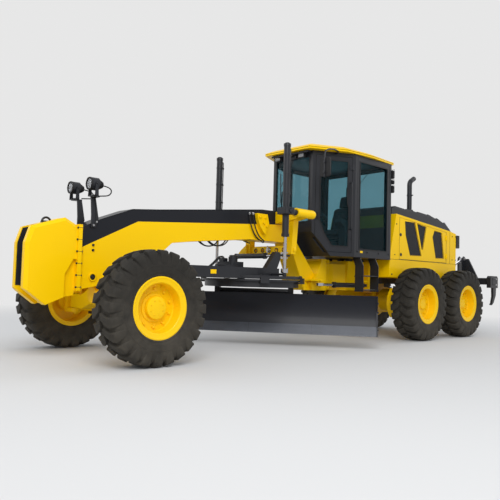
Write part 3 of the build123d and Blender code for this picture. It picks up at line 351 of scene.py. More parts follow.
SIDE = axes(at(0, 0, 0), (0, 1, 0), (1, 0, 0))
PLAN = axes(at(0, 0, 0), (1, 0, 0), (0, 0, 1))
ACROSS = axes(at(0, 0, 0), (1, 0, 0), (0, -1, 0))


class Piece:
    """One named mesh, built up from closed forms, each given in a placement's own axes."""

    def __init__(self, name):
        self.name = name
        self.mesh = bmesh.new()

    def prism(self, place, outline, low, high, bevel=0.0, segments=2):
        bottom = [self.mesh.verts.new(place @ Vector((u, v, low))) for u, v in outline]
        top = [self.mesh.verts.new(place @ Vector((u, v, high))) for u, v in outline]
        faces = [self.mesh.faces.new(bottom[::-1]), self.mesh.faces.new(top)]
        count = len(outline)
        for i in range(count):
            j = (i + 1) % count
            faces.append(self.mesh.faces.new((bottom[i], bottom[j], top[j], top[i])))
        if bevel:
            edges = list(dict.fromkeys(edge for face in faces for edge in face.edges))
            bmesh.ops.bevel(self.mesh, geom=edges, offset=bevel, segments=segments, affect="EDGES",
                            clamp_overlap=True)
        return self

    def box(self, low, high, bevel=0.0):
        """Box between two corners given from the front axle."""
        return self.prism(PLAN, rect(low[0], low[1], high[0], high[1]), low[2], high[2], bevel)

    def side_prism(self, outline, sign, near, far, bevel=0.0):
        """Prism between two side planes, given by their distances from the machine's middle."""
        low, high = sorted((sign * near, sign * far))
        return self.prism(SIDE, outline, low, high, bevel)

    def lathe(self, place, profile, steps=48):
        """Turns (radius, height) points round the placement's z; a radius of 0 closes the form."""
        rings = []
        for radius, height in profile:
            if radius < 1e-6:
                rings.append([self.mesh.verts.new(place @ Vector((0, 0, height)))] * steps)
                continue
            loop = circle(radius, steps)
            rings.append([self.mesh.verts.new(place @ Vector((u, v, height))) for u, v in loop])
        for one, two in zip(rings, rings[1:]):
            for k in range(steps):
                n = (k + 1) % steps
                corners = []
                for vertex in (one[k], one[n], two[n], two[k]):
                    if vertex not in corners:
                        corners.append(vertex)
                if len(corners) > 2:
                    self.mesh.faces.new(corners)
        return self

    def disc(self, place, radius, low, high, bevel=0.0, steps=40):
        """Short cylinder with softened rims."""
        soft = min(bevel, radius / 2, (high - low) / 2)
        return self.lathe(place, [(0, low), (radius - soft, low), (radius, low + soft), (radius, high - soft),
                                  (radius - soft, high), (0, high)], steps)

    def ring(self, place, outer, inner, low, high, steps=48):
        return self.lathe(place, [(inner, low), (outer, low), (outer, high), (inner, high), (inner, low)],
                          steps)

    def hexes(self, place, centres, across_flats, height, washer=True):
        """Bolt heads standing on the placement's plane."""
        for u, v in centres:
            local = place @ Matrix.Translation((u, v, 0))
            if washer:
                self.disc(local, across_flats * 0.62, 0, height * 0.22, steps=14)
            corner = across_flats / 2 / cos(pi / 6)
            self.prism(local, circle(corner, 6), height * 0.2, height, bevel=height * 0.12, segments=1)
        return self

    def tube(self, points, radius, sides=10, smooth=0, closed=False):
        """Round bar along points in the machine's axes; smooth adds rounding passes at the corners."""
        line = [Vector(p) for p in points]
        for _ in range(smooth):
            pairs = list(zip(line, line[1:] + line[:1])) if closed else list(zip(line, line[1:]))
            cut = [] if closed else [line[0]]
            for a, b in pairs:
                cut += [a.lerp(b, 0.25), a.lerp(b, 0.75)]
            line = cut if closed else cut + [line[-1]]
        heading = (line[1] - line[0]).normalized()
        across = heading.orthogonal().normalized()
        rings = []
        for i, point in enumerate(line):
            before = line[i - 1] if i or closed else line[i]
            after = line[(i + 1) % len(line)] if i + 1 < len(line) or closed else line[i]
            new_heading = (after - before).normalized()
            across = heading.rotation_difference(new_heading) @ across
            heading = new_heading
            other = heading.cross(across)
            loop = circle(radius, sides)
            rings.append([self.mesh.verts.new(point + u * across + v * other) for u, v in loop])
        spans = list(zip(rings, rings[1:]))
        if closed:
            spans.append((rings[-1], rings[0]))
        for one, two in spans:
            for k in range(sides):
                n = (k + 1) % sides
                self.mesh.faces.new((one[k], one[n], two[n], two[k]))
        if not closed:
            self.mesh.faces.new(rings[0][::-1])
            self.mesh.faces.new(rings[-1])
        return self

    def data(self):
        """The finished mesh, its normals turned outwards."""
        bmesh.ops.recalc_face_normals(self.mesh, faces=self.mesh.faces)
        data = bpy.data.meshes.new(self.name)
        self.mesh.to_mesh(data)
        self.mesh.free()
        return data

    def done(self, body, material, angle=35, replaces=(), slot=None):
        """Closes the mesh and hangs it on its body."""
        return hang(self.name, self.data(), body, material, angle, replaces)


def hang(name, data, body, material, angle=35, replaces=()):
    """Makes a piece of a mesh, with edges sharper than the angle kept sharp."""
    for polygon in data.polygons:
        polygon.use_smooth = True
    data.set_sharp_from_angle(angle=radians(angle))
    data.materials.clear()
    data.materials.append(material)
    piece = bpy.data.objects.new(name, data)
    scene.collection.objects.link(piece)
    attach(piece, body)
    if replaces:
        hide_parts(*replaces)
    return piece


# ---------------------------------------------------------------- tyres and rims
LUGS = 24
# (x, radius) of the carcass, from the bead's heel over the sidewall to the centre line.
CARCASS = [(0.178, 0.320), (0.182, 0.350), (0.190, 0.362), (0.196, 0.372), (0.194, 0.380), (0.201, 0.392),
           (0.2085, 0.425), (0.2120, 0.465), (0.2110, 0.505), (0.2065, 0.545), (0.1975, 0.578),
           (0.182, 0.600), (0.155, 0.614), (0.110, 0.622), (0.055, 0.626), (0.0, 0.627)]
# Stations along a lug: top (x, radius), root (x, radius), lead of its shoulder end in metres, half width.
LUG_STATIONS = [
    ((0.010, 0.6595), (0.010, 0.622), 0.000, 0.030),
    ((0.030, 0.6595), (0.026, 0.622), 0.010, 0.046),
    ((0.070, 0.6590), (0.066, 0.620), 0.034, 0.050),
    ((0.110, 0.6570), (0.106, 0.617), 0.058, 0.052),
    ((0.140, 0.6540), (0.136, 0.612), 0.068, 0.055),
    ((0.176, 0.6470), (0.170, 0.602), 0.070, 0.056),
    ((0.198, 0.6340), (0.186, 0.590), 0.070, 0.056),
    ((0.2090, 0.6080), (0.196, 0.574), 0.070, 0.054),
    ((0.2135, 0.5750), (0.202, 0.556), 0.070, 0.050),
    ((0.2145, 0.5350), (0.206, 0.532), 0.070, 0.044),
    ((0.2130, 0.4980), (0.209, 0.500), 0.070, 0.036),
]


def tyre_mesh(name):
    """Tyre for the machine's left, turning about x at the origin; its tread leads at the shoulder."""
    form = Piece(name)
    around = axes((0, 0, 0), (0, 0, 1), (1, 0, 0))
    profile = [(r, x) for x, r in CARCASS] + [(r, -x) for x, r in CARCASS[-2::-1]]
    form.lathe(around, profile, 96)
    mesh = form.mesh
    soft = 0.005
    for row in (1, -1):
        for number in range(LUGS):
            middle = (number + (row + 1) / 4) * 2 * pi / LUGS
            sections = []
            for (top_x, top_r), (root_x, root_r), lead, half in LUG_STATIONS:
                corners = [
                    (root_x, root_r, -half - 0.009), (top_x - soft * 0.3, top_r - soft, -half),
                    (top_x, top_r, -half + soft), (top_x, top_r, half - soft),
                    (top_x - soft * 0.3, top_r - soft, half), (root_x, root_r, half + 0.009),
                ]
                section = []
                for x, r, across in corners:
                    turn = middle + (lead + across) / 0.66
                    section.append(mesh.verts.new((row * x, -r * sin(turn), r * cos(turn))))
                sections.append(section)
            for one, two in zip(sections, sections[1:]):
                for k in range(5):
                    mesh.faces.new((one[k], one[k + 1], two[k + 1], two[k]))
                mesh.faces.new((one[5], one[0], two[0], two[5]))
            mesh.faces.new(sections[0][::-1])
            mesh.faces.new(sections[-1])
    # Moulded bands on both sidewalls: a raised rib and a fine raised line.
    for sign in (1, -1):
        side = axes((0, 0, 0), (0, 0, 1), (sign, 0, 0))
        form.lathe(side, [(0.404, 0.2030), (0.407, 0.2062), (0.411, 0.2066), (0.414, 0.2052)], 96)
        form.lathe(side, [(0.470, 0.2115), (0.472, 0.2138), (0.476, 0.2138), (0.478, 0.2115)], 96)
    return form.data()


# (radius, outboard offset) from the hub's face out to the lip and back behind to the bore.
RIM_BACK = [(0.356, 0.186), (0.356, 0.178), (0.330, 0.172), (0.318, 0.160), (0.318, -0.178), (0.356, -0.178),
            (0.356, -0.190), (0.300, -0.190), (0.296, -0.182), (0.288, 0.005), (0.160, 0.005),
            (0.150, -0.070), (0.0605, -0.070), (0.0605, 0.060), (0, 0.060)]
LIP = [(0.262, 0.036), (0.270, 0.046), (0.276, 0.150), (0.280, 0.170), (0.290, 0.178), (0.330, 0.184),
       (0.338, 0.1895), (0.348, 0.1900)]
FRONT_HUB = [(0, 0.112), (0.112, 0.112), (0.126, 0.106), (0.133, 0.092), (0.135, 0.060), (0.150, 0.054),
             (0.162, 0.052), (0.168, 0.040), (0.178, 0.036)]
REAR_HUB = [(0, 0.078), (0.088, 0.078), (0.098, 0.072), (0.102, 0.056), (0.150, 0.052), (0.166, 0.048),
            (0.172, 0.036)]


def rim(name, hub, bolt_ring, bolts):
    """Rim, disc and hub with wheel nuts and the valve stem."""
    form = Piece(name)
    face = axes((0, 0, 0), (0, 0, 1), (1, 0, 0))
    form.lathe(face, hub + LIP + RIM_BACK, 72)
    spots = circle(bolt_ring, bolts)
    form.hexes(face @ Matrix.Translation((0, 0, 0.035)), spots, 0.030, 0.024)
    form.hexes(face @ Matrix.Translation((0, 0, hub[0][1] - 0.002)), circle(0.086, 8, pi / 8), 0.014, 0.009,
               washer=False)
    valve = axes((0.030, 0.09, 0.225), (1, 0, 0), (0.5, 0, 0.85))
    form.disc(valve, 0.013, 0.0, 0.030, 0.003, 16)
    form.tube([(0.035, 0.09, 0.225), (0.060, 0.092, 0.240), (0.095, 0.094, 0.252)], 0.0045, 8)
    return form.data()


tyre_form = tyre_mesh("tyre_form")
rims = {"front": rim("front_rim_form", FRONT_HUB, 0.215, 10)}
rims["mid"] = rims["rear"] = rim("rear_rim_form", REAR_HUB, 0.190, 12)
for station in ("front", "mid", "rear"):
    for hand, sign in HANDS:
        centre = joint_at[f"wheel_{station}_{hand}_spin"]
        for form, kind, material, angle in (
            (tyre_form, "tyre", rubber, 40),
            (rims[station], "wheel", wheel_yellow, 30),
        ):
            copy = form.copy()
            copy.name = f"{kind}_look_{station}_{hand}"
            place = Matrix.Translation((sign * WHEEL_X, centre.y, centre.z))
            copy.transform(place @ Matrix.Diagonal((sign, 1, 1, 1)))
            if sign < 0:
                copy.flip_normals()
            hang(copy.name, copy, f"wheel_{station}_{hand}", material, angle, [f"{kind}_{station}_{hand}"])


# ---------------------------------------------------------------- nose: push block, lamps, gooseneck
def side_bolts(name, body, finish, groups):
    """Bolt heads on both sides; a group is (x, its (y, z) spots, width across flats, height)."""
    heads = Piece(name)
    for sign in (1, -1):
        for x, spots, across_flats, height in groups:
            for y, z in spots:
                heads.hexes(outward(sign * x, y, z), [(0, 0)], across_flats, height)
    heads.done(body, finish)


def push_block():
    floor = [(-1.036, 0.862), (-1.036, 1.338), (-0.944, 1.552), (-0.952, 1.556), (-1.044, 1.341),
             (-1.044, 0.858)]
    wall_plate = [(-1.100, 0.868), (-1.100, 1.352), (-1.046, 1.535), (-0.960, 1.560), (-1.036, 1.340),
                  (-1.036, 0.866)]
    # Black sheet over the groove's floor and walls: painted shade in the recess of the yellow block.
    lining = Piece("block_groove_painted_shade")
    lining.prism(SIDE, floor, -0.0942, 0.0942)
    for sign in (-1, 1):
        lining.side_prism(wall_plate, sign, 0.0915, 0.0942)
    lining.done("front_frame", black)
    guides = Piece("block_groove_guides")
    for x in (-0.050, 0.014):
        guides.box((x, -1.058, 0.88), (x + 0.036, -1.043, 1.33), 0.003)
    guides.done("front_frame", iron)
    eye_bar = Piece("block_lifting_eye")
    eye_bar.tube([at(0, y, z) for y, z in arc((-0.81, 1.622), 0.052, 0, 180, 13)], 0.013, 12)
    eye_bar.box((-0.03, -0.87, 1.605), (0.03, -0.75, 1.634), 0.006)
    eye_bar.done("front_frame", black)
    bolts = Piece("block_flange_bolts")
    heights = [0.86 + 0.142 * k for k in range(6)]
    for sign in (-1, 1):
        bolts.hexes(forward(sign * 0.208, 0, -0.500), [(0, z) for z in heights], 0.020, 0.014)
        bolts.hexes(rearward(sign * 0.196, 0, -0.450), [(0, z) for z in heights], 0.026, 0.018)
        for z in heights:
            bolts.side_prism(rect(-0.502, z - 0.0025, -0.448, z + 0.0025), sign, 0.2195, 0.2212)
    bolts.done("front_frame", black)
    side_bolts("gooseneck_side_bolts", "front_frame", black,
               [(NECK_SIDE, [(-0.283, 1.375), (-0.283, 1.312)], 0.026, 0.017)])
    port, plug = Piece("gooseneck_pin_ports"), Piece("gooseneck_pin_plugs")
    for sign in (-1, 1):
        place = outward(sign * NECK_SIDE, -0.275, 0.985)
        port.ring(place, 0.052, 0.036, -0.001, 0.014)
        plug.disc(place, 0.036, 0.0, 0.004, 0.002)
        plug.hexes(place, [(0, 0)], 0.03, 0.02)
    port.done("front_frame", yellow)
    plug.done("front_frame", black)


def work_lamp(name, body, place, size):
    """Round lamp facing the placement's z: clear ribbed lens, bezel, finned housing behind."""
    bezel = Piece(name + "_bezel")
    bezel.lathe(place, [(0.86 * size, 0), (1.02 * size, 0), (1.06 * size, 0.010), (1.02 * size, 0.022),
                        (0.92 * size, 0.024), (0.86 * size, 0.016), (0.86 * size, 0)], 40)
    for k in range(4):
        back = -0.102 - 0.013 * k
        bezel.disc(place, size * (0.86 - 0.09 * k), back - 0.006, back, 0.0015, 32)
    bezel.disc(place, size * 0.50, -0.160, -0.09, 0.003, 24)
    bezel.hexes(place @ Matrix.Translation((0, 0, 0.022)), circle(0.97 * size, 6), 0.006, 0.004, washer=False)
    bezel.done(body, trim_rubber)
    lens = Piece(name + "_lens")
    lens.lathe(place, [(0, 0.020), (0.3 * size, 0.019), (0.6 * size, 0.016), (0.87 * size, 0.008),
                       (0.87 * size, 0.004), (0, 0.004)], 40)
    lens.done(body, lamp_glass, 50)
    bowl = Piece(name + "_bowl")
    bowl.lathe(place, [(0.86 * size, 0.006), (0.70 * size, 0.0035), (0.35 * size, 0.0022),
                       (0.18 * size, 0.003), (0.10 * size, 0.0038), (0, 0.0039), (0, 0.0015),
                       (0.86 * size, 0.0015), (0.86 * size, 0.006)], 40)
    bowl.done(body, chrome, 50)


def nose_lamps():
    for hand, sign in HANDS:
        work_lamp(f"nose_lamp_{hand}", "front_frame", forward(sign * NOSE_LAMP_X, 2.11, -0.395), 0.076)
        yoke = Piece(f"nose_lamp_bracket_{hand}")
        for side_sign in (-1, 1):
            x = sign * NOSE_LAMP_X + side_sign * 0.087
            yoke.prism(SIDE, [(-0.375, 1.968), (-0.325, 1.968), (-0.332, 2.085), (-0.340, 2.130),
                              (-0.360, 2.130), (-0.368, 2.085)], x - 0.004, x + 0.004, 0.001)
            face = axes(at(x + side_sign * 0.004, -0.35, 2.11), (0, sign, 0), (side_sign, 0, 0))
            yoke.hexes(face, [(0, 0)], 0.017, 0.010)
        middle = sign * NOSE_LAMP_X
        yoke.box((middle - 0.091, -0.375, 1.962), (middle + 0.091, -0.325, 1.969), 0.001)
        yoke.hexes(PLAN @ Matrix.Translation((sign * NOSE_LAMP_X, -0.35, 1.969)), [(0, 0)], 0.026, 0.014)
        yoke.done("front_frame", black)
        loop = Piece(f"nose_lamp_cable_{hand}")
        x = sign * NOSE_LAMP_X
        loop.tube(route([(x, -0.262, 2.105), (x, -0.180, 2.100), (x - sign * 0.01, -0.110, 2.080),
                         (x - sign * 0.02, -0.095, 2.035), (x - sign * 0.04, -0.125, 1.995),
                         (x - sign * 0.06, -0.200, 1.985), (x - sign * 0.068, -0.285, 1.975)]), 0.0075, 8,
                  smooth=2)
        loop.tube(route([(sign * 0.196, -0.300, 1.965), (sign * 0.1965, -0.288, 1.90),
                         (sign * 0.1965, -0.262, 1.72), (sign * 0.1965, -0.285, 1.62)]), 0.0065, 8, smooth=2)
        loop.done("front_frame", trim_rubber)
        ties = Piece(f"nose_lamp_post_bolts_{hand}")
        for y, z in ((-0.300, 1.615), (-0.262, 1.66)):
            ties.hexes(outward(sign * 0.192, y, z), [(0, 0)], 0.022, 0.014)
        ties.done("front_frame", steel)


def gooseneck():
    seam = Piece("gooseneck_edge_welds")
    for sign in (-1, 1):
        for line in ([(-0.20, 0.886), (0.36, 0.893)],
                     [(0.90, 1.483), (1.244, 1.528), (2.34, 1.634), (3.20, 1.634)],
                     [(3.258, 1.600), (3.61, 0.890)],
                     [(-0.19, 1.698), (0.256, 1.868), (0.67, 1.906), (2.58, 2.110), (3.15, 2.122)]):
            seam.tube([at(sign * 0.1705, y, z) for y, z in line], 0.0045, 6)
    seam.done("front_frame", banded_yellow)
    side_bolts("saddle_bolts", "front_frame", yellow,
               [(0.240, [(2.475, 1.985), (2.585, 1.985), (2.615, 1.850), (2.555, 1.900)], 0.036, 0.022)])
    lines = Piece("gooseneck_hoses")
    for sign in (-1, 1):
        for k, x in enumerate((0.185, 0.215)):
            lines.tube(route([(sign * x, 2.30 + 0.05 * k, 2.02), (sign * x, 2.31 + 0.05 * k, 1.93),
                              (sign * (x + 0.02), 2.35 + 0.05 * k, 1.78),
                              (sign * (x + 0.01), 2.44 + 0.05 * k, 1.67), (sign * x, 2.56 + 0.05 * k, 1.62),
                              (sign * 0.150, 2.64, 1.60)]), 0.010, 8, smooth=3)
        for k in range(2):
            x = sign * (0.09 + 0.03 * k)
            lines.tube(route([(x, 1.56, 1.565), (x, 1.60, 1.530), (x, 1.68 + 0.02 * k, 1.492),
                              (x, 1.80 + 0.02 * k, 1.500), (x, 1.88 + 0.02 * k, 1.545),
                              (x, 1.92 + 0.02 * k, 1.600)]), 0.0095, 8, smooth=3)
    lines.done("front_frame", trim_rubber)
    fittings = Piece("gooseneck_hose_fittings")
    for sign in (-1, 1):
        for k, x in enumerate((0.185, 0.215)):
            fittings.disc(upright(sign * x, 2.30 + 0.05 * k, 2.005), 0.014, 0, 0.035, 0.003, 16)
            fittings.disc(axes(at(sign * 0.168, 2.30 + 0.05 * k, 2.03), (0, 1, 0), (sign, 0, 0)), 0.018, 0,
                          abs(x) - 0.155, 0.003, 16)
    fittings.done("front_frame", steel)
    pin = Piece("link_bar_lock_pin")
    pin.lathe(forward(0, 1.50, 2.93), [(0, 0), (0.040, 0), (0.043, 0.003), (0.043, 0.016), (0.040, 0.019),
                                       (0.025, 0.019), (0.025, 0.045), (0, 0.045)], 32)
    pin.box((-0.012, 2.885, 1.43), (0.012, 2.897, 1.57), 0.004)
    pin.done("front_frame", steel)
    hole_rims = Piece("link_bar_hole_rims")
    for x in (-0.32, -0.16, 0.16, 0.32):
        hole_rims.ring(forward(x, 1.50, 2.9402), 0.037, 0.0262, 0, 0.006, 32)
        hole_rims.ring(rearward(x, 1.50, 2.9998), 0.037, 0.0262, 0, 0.006, 32)
    hole_rims.done("front_frame", black)
    caps = Piece("lift_tube_rims")
    for sign in (-1, 1):
        caps.ring(forward(sign * LIFT_X, 2.04, 2.700), 0.071, 0.0472, -0.012, 0.004, 40)
        caps.hexes(axes(at(sign * LIFT_X, 3.130, 2.04), (1, 0, 0), (0, 1, 0)), [(0, 0)], 0.03, 0.012)
    caps.done("front_frame", yellow)
    bundle = Piece("hitch_hoses")
    ends = Piece("hitch_hose_fittings")

    def on_neck(x, down, off):
        """Point on the neck's slanted rear face: metres down along it and off it."""
        return at(x, 3.370 + 0.667 * down + 0.745 * off, 1.690 - 0.745 * down + 0.667 * off)

    for k in range(7):
        x = -0.087 + 0.029 * k
        off = 0.013 + 0.005 * (k % 3)
        bundle.tube([on_neck(x, *p) for p in ((0.065, -0.004), (0.065, 0.014), (0.100, off),
                                              (0.26, off - 0.002), (0.45, off + 0.001), (0.62, 0.014),
                                              (0.675, 0.012), (0.68, -0.004))], 0.0105, 8, smooth=2)
        for down in (0.065, 0.68):
            ends.disc(axes(on_neck(x, down, 0), (1, 0, 0), (0, 0.745, 0.667)), 0.0140, -0.002, 0.018, 0.003,
                      14)
    for down in (0.20, 0.50):
        strap = axes(on_neck(0, down, 0), (1, 0, 0), (0, 0.745, 0.667))
        ends.prism(strap, rect(-0.100, -0.011, 0.100, 0.011), -0.002, 0.033, 0.003)
    bundle.done("front_frame", trim_rubber)
    ends.done("front_frame", steel)


push_block()
nose_lamps()
gooseneck()


# ---------------------------------------------------------------- lift cylinders, drawbar, circle, blade
def lift_cylinders():
    for hand, sign in HANDS:
        x, y = sign * LIFT_X, LIFT_Y
        top = Piece(f"lift_barrel_cap_{hand}")
        top.lathe(upright(x, y, 3.050), [(0, 0.014), (0.030, 0.014), (0.034, 0.010), (0.034, 0.002),
                  (0.053, 0.0), (0.055, -0.004), (0.055, -0.040), (0.0495, -0.046)], 40)
        top.done(f"lift_barrel_{hand}", black)
        pipe = Piece(f"lift_barrel_pipe_{hand}")
        pipe.tube(route([(x, y + 0.050, 2.985), (x, y + 0.072, 2.985), (x, y + 0.080, 2.965),
                         (x, y + 0.080, 2.200), (x, y + 0.076, 2.175), (x, y + 0.058, 2.160)]), 0.0085, 10,
                  smooth=2)
        for z in (2.30, 2.60, 2.88):
            pipe.ring(upright(x, y, z), 0.0535, 0.0495, -0.012, 0.012, 40)
            pipe.box((x - 0.014, y + 0.050, z - 0.012), (x + 0.014, y + 0.091, z + 0.012), 0.003)
        pipe.done(f"lift_barrel_{hand}", black)
        wiper = Piece(f"lift_rod_wiper_{hand}")
        wiper.ring(upright(x, y, 1.655), 0.034, 0.0243, 0, 0.012, 32)
        wiper.done(f"lift_barrel_{hand}", trim_rubber)
        bolts = Piece(f"lift_yoke_bolts_{hand}")
        for side_sign in (-1, 1):
            spot = sideways(x + side_sign * 0.110, y, 2.04, side_sign)
            bolts.disc(spot, 0.040, 0, 0.010, 0.003, 32)
            bolts.hexes(spot @ Matrix.Translation((0, 0, 0.010)),
                        [(0.027, 0), (-0.0135, 0.0235), (-0.0135, -0.0235)], 0.011, 0.008, washer=False)
        bolts.done(f"lift_yoke_{hand}", black)
        boot = Piece(f"lift_ball_bolts_{hand}")
        boot.hexes(upright(x, y, 1.180), circle(0.044, 4, pi / 4), 0.014, 0.012)
        boot.done(f"lift_rod_{hand}", steel)


def drawbar():
    motor = Piece("circle_drive_motor")
    place = upright(0.06, 2.10, 1.340)
    motor.lathe(place, [(0.070, -0.05), (0.070, 0.0), (0.058, 0.006), (0.058, 0.030), (0.044, 0.036),
                        (0, 0.036)], 40)
    motor.hexes(place, circle(0.064, 6), 0.010, 0.010)
    motor.hexes(upright(0, 2.04, 1.220), circle(0.176, 12, pi / 12), 0.018, 0.012)
    motor.box((-0.15, 1.99, 1.274), (-0.03, 2.08, 1.330), 0.008)
    for x in (-0.11, -0.07):
        motor.tube(route([(x, 2.03, 1.320), (x, 2.02, 1.350), (x + 0.01, 1.96, 1.352),
                          (x + 0.03, 1.88, 1.300), (x + 0.05, 1.80, 1.240), (x + 0.08, 1.66, 1.160),
                          (x + 0.09, 1.40, 1.140), (x + 0.08, 1.05, 1.150)]), 0.011, 8, smooth=3)
    motor.done("drawbar", black)
    clamps = Piece("circle_clamp_bolts")
    for turn in (30, 150, 210, 330):
        c, s = cos(radians(turn)), sin(radians(turn))
        for across in (-0.042, 0.0, 0.042):
            spot = at(0.783 * c - across * s, CIRCLE_Y + 0.783 * s + across * c, 1.075)
            clamps.hexes(axes(spot, (c, s, 0), (0, 0, 1)), [(0, 0)], 0.022, 0.012)
    clamps.done("drawbar", black)
    label = Piece("drawbar_blank_plate")
    beam = Vector((0.37, 1.37, 0)).normalized()
    normal = Vector((beam.y, -beam.x, 0))
    start = at(0.150, 0.800, 1.11) + beam * 0.72
    label.prism(axes(start, beam, normal), rect(-0.045, -0.030, 0.045, 0.030), 0.0, 0.0018, 0.0005)
    label.done("drawbar", yellow)


TURN = radians(37.8)  # how far the blade stands slanted at rest
ALONG = Vector((cos(TURN), sin(TURN), 0))
BEHIND = Vector((-sin(TURN), cos(TURN), 0))


def blade_place(x=0.0):
    """Placement in the blade's own direction: local x behind the blade, local y up, local z along it."""
    return axes(at(0, CIRCLE_Y, 0) + ALONG * x, BEHIND, ALONG)


def moldboard():
    low, high = -1.9825, 1.9375
    face = (BEHIND * -0.871 + Vector((0, 0, 0.491))).normalized()
    up_edge = 0.28  # how far up the cutting edge its bolts stand, as a share of its height
    bolts = Piece("cutting_edge_bolts")
    count = 26
    for k in range(count):
        x = low + (k + 0.5) * (high - low) / count
        base = blade_place(x) @ Vector((-0.112 + 0.078 * up_edge, 0.200 + 0.145 * up_edge, 0))
        bolts.disc(axes(base - face * 0.001, ALONG, face), 0.0125, 0, 0.004, 0.0015, 14)
        bolts.hexes(axes(base - face * 0.019, ALONG, -face), [(0, 0)], 0.026, 0.016)
    bolts.done("moldboard", edge_steel)
    band = Piece("cutting_edge_band")
    band.prism(blade_place(), [(-0.1135, 0.2005), (-0.0355, 0.3455), (-0.0335, 0.3445), (-0.1115, 0.1995)],
               low + 0.0005, high - 0.0005)
    band.done("moldboard", edge_steel)
    seams = Piece("cutting_edge_joints")
    for x in (low + 0.98, low + 1.96, low + 2.94):
        seams.prism(blade_place(), [(-0.1140, 0.2005), (-0.0360, 0.3455), (-0.0345, 0.3445),
                                    (-0.1125, 0.1995)], x - 0.0015, x + 0.0015)
    seams.done("moldboard", trim_rubber)
    ribs = Piece("moldboard_back_ribs")
    for x in (-1.70, -1.50, 1.45, 1.66):
        curve = [(0.052, 0.70), (0.062, 0.56), (0.050, 0.43), (0.078, 0.44), (0.090, 0.56), (0.078, 0.69)]
        ribs.prism(blade_place(), curve, x - 0.006, x + 0.006)
    ribs.done("moldboard", blade)
    ends = Piece("moldboard_end_bolts")
    for x, s in ((low - 0.020, -1), (high + 0.020, 1)):
        for u, v in ((-0.060, 0.300), (-0.008, 0.420), (0.028, 0.560), (0.010, 0.700)):
            spot = blade_place(x) @ Vector((u, v, 0))
            ends.hexes(axes(spot, BEHIND * s, ALONG * s), [(0, 0)], 0.024, 0.014)
    ends.done("moldboard", black)
    caps = Piece("blade_pivot_caps")
    for x, s in ((-0.65, -1), (0.65, 1)):
        spot = blade_place(x) @ Vector((0.215, 0.36, 0))
        caps.disc(axes(spot, BEHIND * s, ALONG * s), 0.040, 0, 0.012, 0.003, 32)
        caps.hexes(axes(spot + ALONG * s * 0.012, BEHIND * s, ALONG * s), [(0.02, 0), (-0.02, 0)], 0.016,
                   0.01)
    caps.done("blade_carrier", black)


lift_cylinders()
drawbar()
moldboard()


# ---------------------------------------------------------------- cab
DOOR_ALONG, DOOR_OUT = Vector((0.4472, 0.8944, 0)), Vector((0.8944, -0.4472, 0))
# The door's kinked window, metres along the angled face and up.
DOOR_WINDOW = [(0.221, 1.800), (0.361, 1.600), (0.6716, 1.600), (0.6716, 2.260), (0.6466, 2.330),
               (0.6516, 3.050), (0.131, 3.050), (0.131, 2.020)]


def door_place(sign):
    """Placement on the door's outer face: local x towards the rear, local y up, z outwards."""
    along, out = (Vector((sign * side.x, side.y, 0)) for side in (DOOR_ALONG, DOOR_OUT))
    origin = at(sign * 0.450, CAB_FRONT, 0)
    return Matrix.Translation(origin) @ Matrix((along, (0, 0, 1), out)).transposed().to_4x4()


def frame_strip(form, place, outline, inset, low, high):
    """Closed strip along an outline's inner side, such as a window gasket."""
    count = len(outline)
    inner = []
    for i in range(count):
        before, here, after = (Vector(outline[i - 1]), Vector(outline[i]), Vector(outline[(i + 1) % count]))
        one, two = (here - before).normalized(), (after - here).normalized()
        normals = Vector((-one.y, one.x)), Vector((-two.y, two.x))
        bisector = (normals[0] + normals[1]).normalized()
        inner.append(here + bisector * inset / max(0.3, bisector.dot(normals[0])))
    for i in range(count):
        j = (i + 1) % count
        form.prism(place, [tuple(outline[i]), tuple(outline[j]), tuple(inner[j]), tuple(inner[i])], low, high)


def cab_gaskets():
    gasket = Piece("cab_window_gaskets")
    for place, pane in ((forward(0, 0, CAB_FRONT), rect(-0.390, 1.990, 0.390, 3.090)),
                        (rearward(0, 0, CAB_REAR), rect(-0.680, 2.020, 0.680, 3.080))):
        frame_strip(gasket, place, pane, 0.018, -0.004, 0.006)
    side = rect(4.270, 1.570, 5.110, 3.080)
    for sign in (1, -1):
        low, high = sorted((-sign * 0.004, sign * 0.006))
        frame_strip(gasket, SIDE @ Matrix.Translation((0, 0, sign * CAB_SIDE)), side, 0.018, low, high)
    gasket.done("rear_frame", trim_rubber)


def wipers():
    arms = Piece("cab_wipers")
    for x, tip, z, place in ((0.08, -0.26, 3.118, forward), (-0.30, 0.22, 3.105, rearward)):
        spot = place(0, 0, CAB_FRONT if place is forward else CAB_REAR)
        arms.disc(spot @ Matrix.Translation((x, z, 0)), 0.024, -0.002, 0.030, 0.004, 24)
        start, end = spot @ Vector((x, z, 0.024)), spot @ Vector((tip, 2.62, 0.014))
        arms.tube([start, start.lerp(end, 0.1) + (spot.to_3x3() @ Vector((0, 0, 0.006))), end], 0.006, 8)
        arms.tube([spot @ Vector((tip - 0.01, 2.86, 0.010)), end, spot @ Vector((tip + 0.01, 2.34, 0.010))],
                  0.008, 8)
    arms.done("rear_frame", black)


